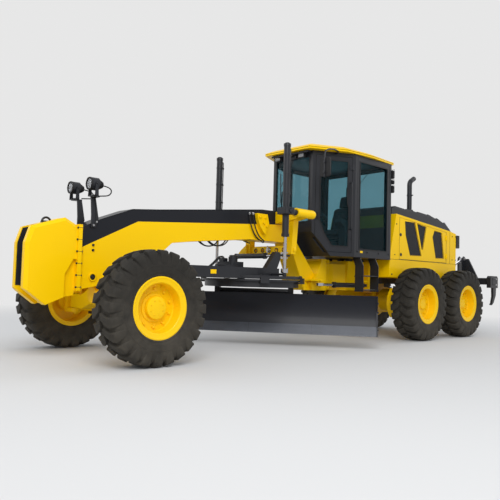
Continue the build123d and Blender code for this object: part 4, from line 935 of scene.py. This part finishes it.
def cab_outside():
    trim = Piece("cab_seams")
    for sign in (1, -1):
        for y in (4.215, 5.165):
            trim.side_prism(rect(y - 0.003, 1.52, y + 0.003, 3.14), sign, 0.7995, 0.8015)
    trim.done("rear_frame", trim_rubber)
    side_bolts("cab_mount_bolts", "rear_frame", black,
               [(CAB_SIDE, [(y, 1.535) for y in (4.24, 4.52, 4.86, 5.17)], 0.024, 0.014)])
    visor = [(3.352, 3.140), (3.446, 3.150), (3.446, 3.178), (3.352, 3.172)]
    Piece("cab_front_visor").prism(SIDE, visor, -0.42, 0.42, 0.004).done("rear_frame", black)
    for k, x in enumerate((-0.27, 0.27)):
        small_lamp(f"cab_front_lamp_{k + 1}", forward(x, 3.098, 3.352), 0.13, 0.070)
    for hand, sign in HANDS:
        for k, (z, height) in enumerate(((2.73, 0.130), (2.86, 0.070), (3.00, 0.150))):
            small_lamp(f"cab_rear_lamp_{hand}_{k + 1}", rearward(sign * 0.765, z, 5.300), 0.12, height)
        post = Piece(f"cab_rear_lamp_post_{hand}")
        post.side_prism([(5.225, 2.63), (5.285, 2.65), (5.285, 3.10), (5.225, 3.12)], sign, 0.700, 0.712,
                        0.002)
        post.done("rear_frame", black)
    roof = Piece("roof_grooves")
    plan = [(0.51, 3.290), (0.81, 3.920), (0.85, 4.600), (0.79, 5.310)]
    loop = plan + [(-x, y) for x, y in plan[::-1]]
    roof.tube([at(x, y, 3.208) for x, y in loop], 0.0032, 6, closed=True)
    roof.done("rear_frame", trim_rubber)
    ribs = Piece("roof_ribs")
    for x in (-0.48, -0.24, 0.0, 0.24, 0.48):
        ribs.prism(SIDE, [(3.62, 3.2805), (3.66, 3.2848), (5.06, 3.2848), (5.10, 3.2805)], x - 0.035,
                   x + 0.035, 0.0015)
    ribs.done("rear_frame", yellow)


def small_lamp(name, place, width, height):
    """Rectangular work lamp facing the placement's z."""
    w, h = width / 2, height / 2
    body = Piece(name + "_body")
    body.prism(place, [(-w, -h + 0.012), (-w + 0.012, -h), (w - 0.012, -h), (w, -h + 0.012), (w, h - 0.012),
                       (w - 0.012, h), (-w + 0.012, h), (-w, h - 0.012)], -0.055, 0.0, 0.004)
    for k in range(4):
        x = -w * 0.7 + k * w * 0.467
        body.prism(place, rect(x - 0.004, -h * 0.8, x + 0.004, h * 0.8), -0.068, -0.05)
    body.tube([place @ Vector((-w * 0.9, 0, -0.03)), place @ Vector((-w - 0.008, 0, -0.03)),
               place @ Vector((-w - 0.008, h + 0.012, -0.03)), place @ Vector((w + 0.008, h + 0.012, -0.03)),
               place @ Vector((w + 0.008, 0, -0.03)), place @ Vector((w * 0.9, 0, -0.03))], 0.004, 6)
    body.done("rear_frame", trim_rubber)
    lens = Piece(name + "_lens")
    lens.prism(place, rect(-w + 0.009, -h + 0.009, w - 0.009, h - 0.009), -0.002, 0.0035, 0.001)
    lens.done("rear_frame", lamp_glass)


def mirror():
    """Rear-view mirror on a tube arm from the roof's left front corner."""
    arm = Piece("mirror_arm_left")
    arm.tube(route([(0.640, 3.820, 3.155), (0.760, 3.740, 3.160), (0.860, 3.460, 3.140),
                    (0.900, 3.240, 3.080), (0.900, 3.205, 3.020), (0.900, 3.205, 2.640)]), 0.012, 10,
             smooth=2)
    for z in (2.72, 2.88):
        arm.box((0.882, 3.185, z - 0.02), (0.918, 3.228, z + 0.02), 0.004)
    arm.done("rear_frame", black)
    face = axes(at(0.900, 3.225, 2.800), (1, 0.10, 0), (-0.10, 1, 0))
    outline = []
    for u, v, start in ((0.065, 0.120, 0), (-0.065, 0.120, 90), (-0.065, -0.120, 180), (0.065, -0.120, 270)):
        outline += arc((u, v), 0.030, start, start + 90, 4)
    Piece("mirror_shell_left").prism(face, outline, -0.012, 0.028, 0.009, 3).done("rear_frame", trim_rubber)
    sheet = [(u * 0.9, v * 0.93) for u, v in outline]
    Piece("mirror_glass_left").prism(face, sheet, 0.0275, 0.0295, 0.0008).done("rear_frame", chrome)


def doors():
    for hand, sign in HANDS:
        body, place = f"cab_door_{hand}", door_place(sign)
        handle = Piece(f"door_handle_{hand}")
        handle.prism(place, rect(0.070, 2.035, 0.122, 2.160), -0.002, 0.010, 0.003)
        handle.tube([place @ Vector(p) for p in ((0.096, 2.05, 0.006), (0.096, 2.05, 0.042),
                                                 (0.096, 2.13, 0.042), (0.096, 2.13, 0.006))], 0.007, 8,
                    smooth=1)
        handle.disc(place @ Matrix.Translation((0.096, 2.148, 0.010)), 0.009, -0.002, 0.006, 0.002, 20)
        handle.done(body, trim_rubber)
        rail = Piece(f"door_grab_rail_{hand}")
        rail.tube([place @ Vector(p) for p in ((0.692, 1.90, -0.004), (0.692, 1.90, 0.045),
                                               (0.692, 1.94, 0.055), (0.692, 2.64, 0.055),
                                               (0.692, 2.68, 0.045), (0.692, 2.68, -0.004))], 0.0125, 10,
                  smooth=2)
        rail.done(body, black)
        bolts = Piece(f"door_hinge_bolts_{hand}")
        for z in (1.720, 2.900):
            bolts.hexes(place @ Matrix.Translation((0, 0, 0.010)), [(0.680, z + 0.022), (0.680, z + 0.068),
                        (0.706, z + 0.022), (0.706, z + 0.068)], 0.013, 0.007)
        bolts.done(body, black)
        gasket = Piece(f"door_window_gasket_{hand}")
        frame_strip(gasket, place, DOOR_WINDOW, 0.018, -0.004, 0.006)
        gasket.done(body, trim_rubber)
        knob = Piece(f"door_inner_latch_{hand}")
        knob.prism(place, rect(0.075, 2.02, 0.150, 2.16), -0.075, -0.048, 0.006)
        knob.tube([place @ Vector(p) for p in ((0.11, 2.06, -0.07), (0.11, 2.06, -0.105),
                                               (0.24, 2.06, -0.105))], 0.008, 8, smooth=1)
        knob.done(body, plastic)


def boarding():
    tread = Piece("boarding_step_grips")
    for sign in (1, -1):
        for z in (0.880, 1.120):
            top = z + 0.0155
            for k in range(9):
                y = 4.38 + k * 0.0445
                for x in (0.695, 0.750, 0.805):
                    tread.ring(PLAN @ Matrix.Translation((sign * x, y, 0)), 0.014, 0.009, top - 0.002,
                               top + 0.004, 10)
    tread.done("rear_frame", steel)
    bolts = Piece("boarding_step_bolts")
    for sign in (1, -1):
        for y, face in ((4.330, -1), (4.782, 1)):
            for z in (0.880, 1.120):
                for x in (0.695, 0.805):
                    place = forward(sign * x, z, y) if face < 0 else rearward(sign * x, z, y)
                    bolts.hexes(place, [(0, 0)], 0.020, 0.012)
    bolts.done("rear_frame", black)
    label = Piece("cab_sill_blank_label")
    label.prism(outward(CAB_SIDE, 4.30, 1.535), rect(0.012, -0.018, 0.085, 0.018), 0, 0.0015)
    label.done("rear_frame", yellow)


def crowned(form, place, width, depth, thickness, crown, pinch, channels=()):
    """Closed crowned form whose sides draw in between its corners; channels are sewn grooves across it."""
    n = 40
    grid = {}
    for side in (1, -1):
        for i in range(n + 1):
            for j in range(n + 1):
                s, t = 2 * i / n - 1, 2 * j / n - 1
                edge = max(abs(s), abs(t))
                round_off = (1 - abs(s) ** 5) * (1 - abs(t) ** 5)
                draw = 1 - pinch * (1 - (t if abs(s) > abs(t) else s) ** 2) * edge ** 3
                corner = 1 - 0.045 * (abs(s) * abs(t)) ** 3
                u, v = s * width / 2 * draw * corner, t * depth / 2 * draw * corner
                dome = crown * (1 - s * s) * (1 - t * t) if side > 0 else 0
                height = thickness / 2 * round_off ** 0.42 + dome
                for channel in channels if side > 0 else ():
                    across = (v - channel) / 0.010
                    height -= 0.011 * (2.718 ** (-across * across)) * round_off
                # The rim lies flat, and the underside shares it.
                if edge > 0.999 and side < 0:
                    grid[(side, i, j)] = grid[(1, i, j)]
                else:
                    level = 0 if edge > 0.999 else side * height
                    grid[(side, i, j)] = form.mesh.verts.new(place @ Vector((u, v, level)))
        for i in range(n):
            for j in range(n):
                corners = [grid[(side, i, j)], grid[(side, i + 1, j)], grid[(side, i + 1, j + 1)],
                           grid[(side, i, j + 1)]]
                form.mesh.faces.new(corners if side > 0 else corners[::-1])


SEAT_LEAN = (0, -0.97, 0.24)


def seat():
    cushion = Piece("seat_cushion")
    flat = PLAN @ Matrix.Translation((0, 4.605, 1.895))
    crowned(cushion, flat, 0.500, 0.500, 0.115, 0.016, 0.018, (-0.12, 0.0, 0.12))
    for sign in (1, -1):
        crowned(cushion, PLAN @ Matrix.Translation((sign * 0.205, 4.60, 1.925)), 0.100, 0.460, 0.080, 0.006,
                0.01)
    piece = cushion.done("rear_frame", cloth, 60, ["seat"])
    back = Piece("seat_back")
    lean = axes(at(0, 4.905, 2.175), (1, 0, 0), SEAT_LEAN)
    crowned(back, lean, 0.480, 0.500, 0.115, 0.016, 0.02, (-0.13, 0.0, 0.13))
    for sign in (1, -1):
        crowned(back, axes(at(sign * 0.195, 4.890, 2.17), (1, 0, 0), SEAT_LEAN), 0.090, 0.470, 0.110, 0.008,
                0.01)
    back.done("rear_frame", cloth, 60)
    head = Piece("seat_headrest")
    crowned(head, axes(at(0, 4.965, 2.520), (1, 0, 0), SEAT_LEAN), 0.290, 0.220, 0.090, 0.012, 0.02)
    head.done("rear_frame", cloth, 60)
    base = Piece("seat_suspension")
    base.box((-0.165, 4.470, 1.500), (0.165, 4.820, 1.530), 0.006)
    for k in range(5):
        z = 1.545 + 0.050 * k
        base.box((-0.155 + 0.004 * (k % 2), 4.485 + 0.004 * (k % 2), z - 0.018),
                 (0.155 - 0.004 * (k % 2), 4.805 - 0.004 * (k % 2), z + 0.018), 0.010)
    base.box((-0.170, 4.460, 1.790), (0.170, 4.830, 1.835), 0.010)
    base.tube(route([(-0.12, 4.95, 2.36), (-0.075, 4.968, 2.46)]), 0.006, 8)
    for x in (-0.07, 0.07):
        base.tube(route([(x, 4.945, 2.36), (x, 4.965, 2.48)]), 0.0065, 8)
    base.done("rear_frame", plastic)
    belt = Piece("seat_belt_buckles")
    for sign in (1, -1):
        belt.box((sign * 0.235 - 0.014, 4.760, 1.860), (sign * 0.235 + 0.014, 4.795, 1.985), 0.004)
    belt.done("rear_frame", black)


def controls():
    wheel = Piece("steering_wheel_grip")
    tilt = axes(at(0, 4.110, 2.160), (1, 0, 0), (0, 0.42, 0.91))
    wheel.tube([tilt @ Vector((u, v, 0.004)) for u, v in circle(0.178, 40)], 0.0155, 10, closed=True)
    wheel.disc(tilt, 0.045, -0.01, 0.018, 0.006, 28)
    for turn in (90, 210, 330):
        end = tilt @ Vector((0.172 * cos(radians(turn)), 0.172 * sin(radians(turn)), 0.004))
        wheel.tube([tilt @ Vector((0, 0, 0.004)), end], 0.010, 8)
    wheel.done("rear_frame", plastic, 60)
    levers = Piece("control_levers")
    for sign in (1, -1):
        for k in range(4):
            x, y = sign * (0.318 + 0.022 * k), 4.32
            levers.tube(route([(x, y + 0.01, 2.125), (x, y - 0.005, 2.190)]), 0.004, 8)
            levers.lathe(axes(at(x, y - 0.006, 2.190), (1, 0, 0), (0, -0.1, 1)),
                         [(0, 0), (0.008, 0), (0.0125, 0.014), (0.0115, 0.028), (0, 0.036)], 16)
    levers.done("rear_frame", plastic, 50)
    panel = Piece("instrument_panel")
    face = axes(at(0, 4.035, 2.165), (1, 0, 0), (0, 0.75, 0.66))
    panel.prism(face, [(-0.125, -0.055), (0.125, -0.055), (0.110, 0.060), (-0.110, 0.060)], -0.030, 0.010,
                0.006)
    for x, r in ((-0.07, 0.024), (0.0, 0.030), (0.07, 0.024)):
        panel.ring(face @ Matrix.Translation((x, 0.005, 0.010)), r, r * 0.85, -0.002, 0.005, 28)
    panel.done("rear_frame", plastic)
    rests = Piece("arm_rests")
    for sign in (1, -1):
        rests.box((sign * 0.355 - 0.045, 4.42, 2.128), (sign * 0.355 + 0.045, 4.74, 2.160), 0.012)
    rests.done("rear_frame", trim_rubber, slot="console_plastic")
    mat = Piece("cab_floor_mat")
    mat.prism(PLAN, [(-0.53, 3.84), (0.53, 3.84), (0.66, 4.16), (0.66, 5.12), (-0.66, 5.12), (-0.66, 4.16)],
              1.4995, 1.508, 0.002)
    for k in range(14):
        y = 3.86 + 0.090 * k
        half = min(0.66, 0.53 + (y - 3.84) * 0.4) - 0.03
        mat.prism(PLAN, rect(-half, y, half, y + 0.02), 1.507, 1.511)
    mat.done("rear_frame", trim_rubber, slot="console_plastic")
    pedals = Piece("pedals")
    for x in (-0.16, 0.16, 0.26):
        pedals.prism(axes(at(x, 3.86, 1.600), (1, 0, 0), (0, 0.75, 0.66)), rect(-0.04, -0.06, 0.04, 0.06), 0,
                     0.010, 0.003)
        pedals.tube(route([(x, 3.86, 1.600), (x, 3.82, 1.575), (x, 3.81, 1.505)]), 0.009, 8, smooth=1)
    pedals.done("rear_frame", black)


cab_gaskets()
wipers()
cab_outside()
mirror()
doors()
boarding()
seat()
controls()


# ---------------------------------------------------------------- hood, grilles, deck, exhaust, tail lamps
# Pocket outlines of one hood door: y from the front axle, height.
POCKETS = [
    [(5.790, 2.190), (6.135, 2.200), (6.385, 1.570), (5.980, 1.560), (5.820, 1.935)],
    [(6.225, 2.190), (6.560, 2.150), (6.440, 1.700), (6.400, 1.700)],
    [(6.890, 2.105), (7.175, 2.080), (7.265, 1.565), (6.945, 1.550), (6.815, 1.970)],
]


def inside_span(outline, level):
    """Lowest and highest first coordinate where a closed outline crosses a level of the second."""
    hits = []
    for (u1, v1), (u2, v2) in zip(outline, outline[1:] + outline[:1]):
        if (v1 - level) * (v2 - level) < 0:
            hits.append(u1 + (u2 - u1) * (level - v1) / (v2 - v1))
    return (min(hits), max(hits)) if len(hits) > 1 else None


def shrink(outline, inset):
    """The outline with every corner drawn in towards the mean of its corners."""
    middle = sum((Vector(p) for p in outline), Vector((0, 0))) / len(outline)
    return [tuple(Vector(p) + (middle - Vector(p)).normalized() * inset) for p in outline]


def hood_doors():
    for hand, sign in HANDS:
        body = f"hood_door_{hand}"
        grid = Piece(f"hood_grille_slats_{hand}")
        lining = Piece(f"hood_grille_lining_{hand}")
        edge = Piece(f"hood_grille_trim_{hand}")
        for pocket in POCKETS:
            outline = shrink(pocket, 0.006)
            lining.side_prism(outline, sign, 0.7375, 0.7400)
            levels = [v for _, v in pocket]
            level = min(levels) + 0.020
            while level < max(levels) - 0.012:
                span = inside_span(outline, level)
                if span and span[1] - span[0] > 0.03:
                    slat = rect(span[0] + 0.008, level * sign, span[1] - 0.008, (level + 0.0075) * sign)
                    grid.prism(axes(at(sign * 0.7400, 0, 0), (0, 1, 0), (sign, 0, 0)), slat, 0, 0.0065)
                level += 0.0195
            edge.tube([at(sign * 0.7515, y, z) for y, z in shrink(pocket, -0.002)], 0.0032, 6, closed=True)
        lining.done(body, grille)
        grid.done(body, grille)
        edge.done(body, trim_rubber)
        hardware = Piece(f"hood_door_locks_{hand}")
        for y, z in ((5.640, 1.930), (5.655, 1.560)):
            place = outward(sign * 0.752, y, z)
            hardware.ring(place, 0.030, 0.024, -0.004, 0.005, 32)
            hardware.disc(place, 0.0235, -0.004, 0.003, 0.001, 32)
            hardware.prism(place, rect(-0.004, -0.016, 0.004, 0.016), 0.002, 0.0065)
        hardware.done(body, black)
        seam = Piece(f"hood_door_gasket_{hand}")
        for line in ([(5.6015, 1.4715), (7.3685, 1.4715)], [(5.6015, 1.4715), (5.6015, 2.254)],
                     [(7.3685, 1.4715), (7.3685, 2.110)]):
            seam.tube([at(sign * 0.7500, y, z) for y, z in line], 0.0028, 6)
        seam.done(body, trim_rubber)


def hood_shell():
    seams = Piece("hood_seams")
    for sign in (1, -1):
        for line in ([(5.300, 1.462), (7.868, 1.462)], [(7.520, 1.462), (7.520, 2.140)]):
            seams.tube([at(sign * 0.7502, y, z) for y, z in line], 0.0028, 6)
    seams.done("rear_frame", trim_rubber)
    side_bolts("hood_base_bolts", "rear_frame", black,
               [(HOOD_SIDE, [(5.36 + k * 0.285, 1.185) for k in range(9)], 0.022, 0.012),
                (HOOD_SIDE, [(5.45, 1.55), (5.50, 2.12), (7.62, 1.55), (7.62, 2.04), (7.76, 1.55),
                             (7.76, 2.04)], 0.018, 0.010)])
    screen = Piece("radiator_screen")
    screen.prism(rearward(0, 0, 7.8695), [(-0.50, 1.470), (0.50, 1.470), (0.50, 1.985), (0.455, 2.030),
                                          (-0.455, 2.030), (-0.50, 1.985)], -0.004, 0.004)
    screen.done("rear_frame", grille)
    louvres = Piece("radiator_louvres")
    place = rearward(0, 0, 7.8735)
    for k in range(18):
        v = 1.488 + k * 0.0295
        half = 0.488 if v < 1.98 else 0.45
        louvres.prism(axes(place @ Vector((0, v, 0)), (-1, 0, 0), (0, 1, 0)),
                      rect(-half, -0.006, half, 0.008), -0.002, 0.010, 0.001)
    for u in (-0.50, -0.25, 0.0, 0.25, 0.50):
        louvres.prism(place, rect(u - 0.011, 1.465, u + 0.011, 2.032), -0.002, 0.014, 0.002)
    for v in (1.462, 2.022):
        louvres.prism(place, rect(-0.511, v, 0.511, v + 0.022), -0.002, 0.014, 0.002)
    louvres.done("rear_frame", black)
    latch = Piece("radiator_door_latch")
    place = rearward(-0.560, 1.76, 7.870)
    latch.disc(place, 0.026, -0.002, 0.012, 0.003, 28)
    latch.prism(place, rect(-0.006, -0.03, 0.006, 0.03), 0.010, 0.018, 0.002)
    for v in (1.58, 1.94):
        latch.box((0.530, 7.868, v - 0.035), (0.585, 7.882, v + 0.035), 0.004)
    latch.done("rear_frame", black)
    for hand, sign in HANDS:
        for k, z in enumerate((1.865, 1.942, 2.020)):
            place = rearward(sign * 0.651, z, 7.984)
            lens = Piece(f"tail_lamp_lens_{hand}_{k + 1}")
            lens.lathe(place, [(0, 0.007), (0.018, 0.006), (0.030, 0.002), (0.032, -0.003), (0, -0.003)], 32)
            lens.done("rear_frame", tail_red if k != 1 else amber, 50)
            bezel = Piece(f"tail_lamp_ring_{hand}_{k + 1}")
            bezel.ring(place, 0.0355, 0.0315, -0.002, 0.005, 32)
            bezel.done("rear_frame", trim_rubber)
        ribs = Piece(f"tail_lamp_ribs_{hand}")
        for k in range(7):
            z = 1.835 + 0.036 * k
            ribs.prism(axes(at(sign * 0.772, 7.812, z), (0, 1, 0), (sign, 0, 0)),
                       rect(0.0, 0.0, 0.080, 0.010), -0.002, 0.003)
        ribs.done("rear_frame", trim_rubber)


def deck():
    slope = [(5.560, 2.441), (6.300, 2.4155), (6.850, 2.4005), (7.390, 2.3215)]
    seams = Piece("deck_ribs")
    for sign in (1, -1):
        seams.tube([at(sign * 0.435, y, z) for y, z in slope], 0.006, 8)
    for y, z in ((5.560, 2.4412), (7.390, 2.3225)):
        seams.tube([at(-0.58, y, z), at(0.58, y, z)], 0.006, 8)
    seams.done("rear_frame", black)
    panels = Piece("deck_edge_panels")
    rise = [(5.56, 2.443), (5.98, 2.431), (6.38, 2.418), (6.78, 2.407), (7.14, 2.363), (7.46, 2.303),
            (7.70, 2.215)]
    for (y1, z1), (y2, z2) in zip(rise, rise[1:]):
        for sign in (1, -1):
            panels.side_prism([(y1 + 0.006, z1 - 0.012), (y2 - 0.006, z2 - 0.012), (y2 - 0.006, z2 + 0.006),
                                (y2 - 0.045, z2 + 0.026), (y1 + 0.050, z1 + 0.034), (y1 + 0.006, z1 + 0.010)],
                              sign, 0.455, 0.636, 0.004)
    panels.done("rear_frame", black)
    slats = Piece("deck_outlet_slats")
    for k in range(12):
        y = 5.815 + 0.040 * k
        z = 2.5055 - 0.0603 * (y - 5.76)
        slats.box((-0.34, y - 0.009, z - 0.002), (0.34, y + 0.009, z + 0.006), 0.002)
    slats.done("rear_frame", grille)
    clamp = Piece("exhaust_clamps")
    for z in (2.475, 2.78):
        stack = upright(0.44, 6.44, z)
        clamp.ring(stack, 0.0535, 0.0470, 0, 0.026, 40)
        clamp.box((0.44 + 0.046, 6.44 - 0.010, z + 0.003), (0.44 + 0.082, 6.44 + 0.010, z + 0.023), 0.003)
    clamp.hexes(upright(0.44, 6.44, 2.470), circle(0.063, 6, pi / 6), 0.014, 0.010)
    clamp.done("rear_frame", black)
    cap = Piece("fuel_filler_cap")
    spot = axes(at(-0.33, 7.02, 2.376), (1, 0, 0), (0, 0.14, 1))
    cap.lathe(spot, [(0.055, -0.01), (0.055, 0.020), (0.048, 0.028), (0, 0.028)], 36)
    cap.prism(spot, rect(-0.045, -0.008, 0.045, 0.008), 0.025, 0.042, 0.004)
    cap.done("rear_frame", black)


# ---------------------------------------------------------------- tandems, engine, ripper
def tandems():
    bolts = Piece("tandem_case_bolts")
    for sign in (1, -1):
        for y in (5.60, 5.90, 6.18, 6.92, 7.20, 7.50):
            bolts.hexes(PLAN @ Matrix.Translation((sign * 0.71, y, 0.960)), [(-0.07, 0), (0.07, 0)], 0.022,
                        0.012)
        pivot = axes(at(sign * 0.820, 6.55, 0.675), (0, 1, 0), (sign, 0, 0))
        bolts.disc(pivot, 0.135, -0.004, 0.016, 0.006, 48)
        bolts.hexes(pivot @ Matrix.Translation((0, 0, 0.016)), circle(0.105, 10), 0.022, 0.014)
        bolts.disc(pivot @ Matrix.Translation((-0.30, -0.16, 0)), 0.026, -0.004, 0.010, 0.003, 20)
    bolts.done("rear_frame", black)


def engine_trim():
    block = Piece("engine_head_covers")
    for k in range(6):
        y = 5.86 + k * 0.165
        block.box((-0.165, y, 1.972), (0.165, y + 0.135, 2.030), 0.014)
    block.tube(route([(0.285, 5.86, 1.80), (0.285, 6.20, 1.80), (0.285, 6.72, 1.80)]), 0.045, 16)
    block.tube(route([(0.285, 6.44, 1.80), (0.36, 6.44, 1.84), (0.43, 6.44, 1.95), (0.44, 6.44, 2.10),
                      (0.44, 6.44, 2.33)]), 0.040, 16, smooth=2)
    block.tube(route([(-0.275, 5.90, 1.72), (-0.275, 6.74, 1.72)]), 0.038, 16)
    block.disc(axes(at(-0.275, 6.30, 1.20), (0, 1, 0), (-1, 0, 0)), 0.055, 0, 0.15, 0.01, 28)
    block.done("rear_frame", iron)


def ripper():
    tips = Piece("ripper_shank_tips")
    for x in (-0.96, 0.0, 0.96):
        for z in (1.055, 1.180):
            for side_sign in (-1, 1):
                tips.hexes(sideways(x + side_sign * 0.078, 9.085, z, side_sign), [(0, 0)], 0.030, 0.020)
    tips.done("ripper_beam", steel)
    plates = Piece("ripper_lug_pins")
    for sign in (1, -1):
        for side_sign in (-1, 1):
            x = sign * 0.25 + side_sign * 0.066
            place = sideways(x, 9.05, 1.62, side_sign)
            plates.disc(place, 0.030, 0, 0.010, 0.003, 28)
            plates.hexes(place @ Matrix.Translation((0, 0, 0.010)), [(0, 0)], 0.024, 0.012, washer=False)
    plates.done("ripper_beam", steel)


hood_doors()
hood_shell()
deck()
tandems()
engine_trim()
ripper()
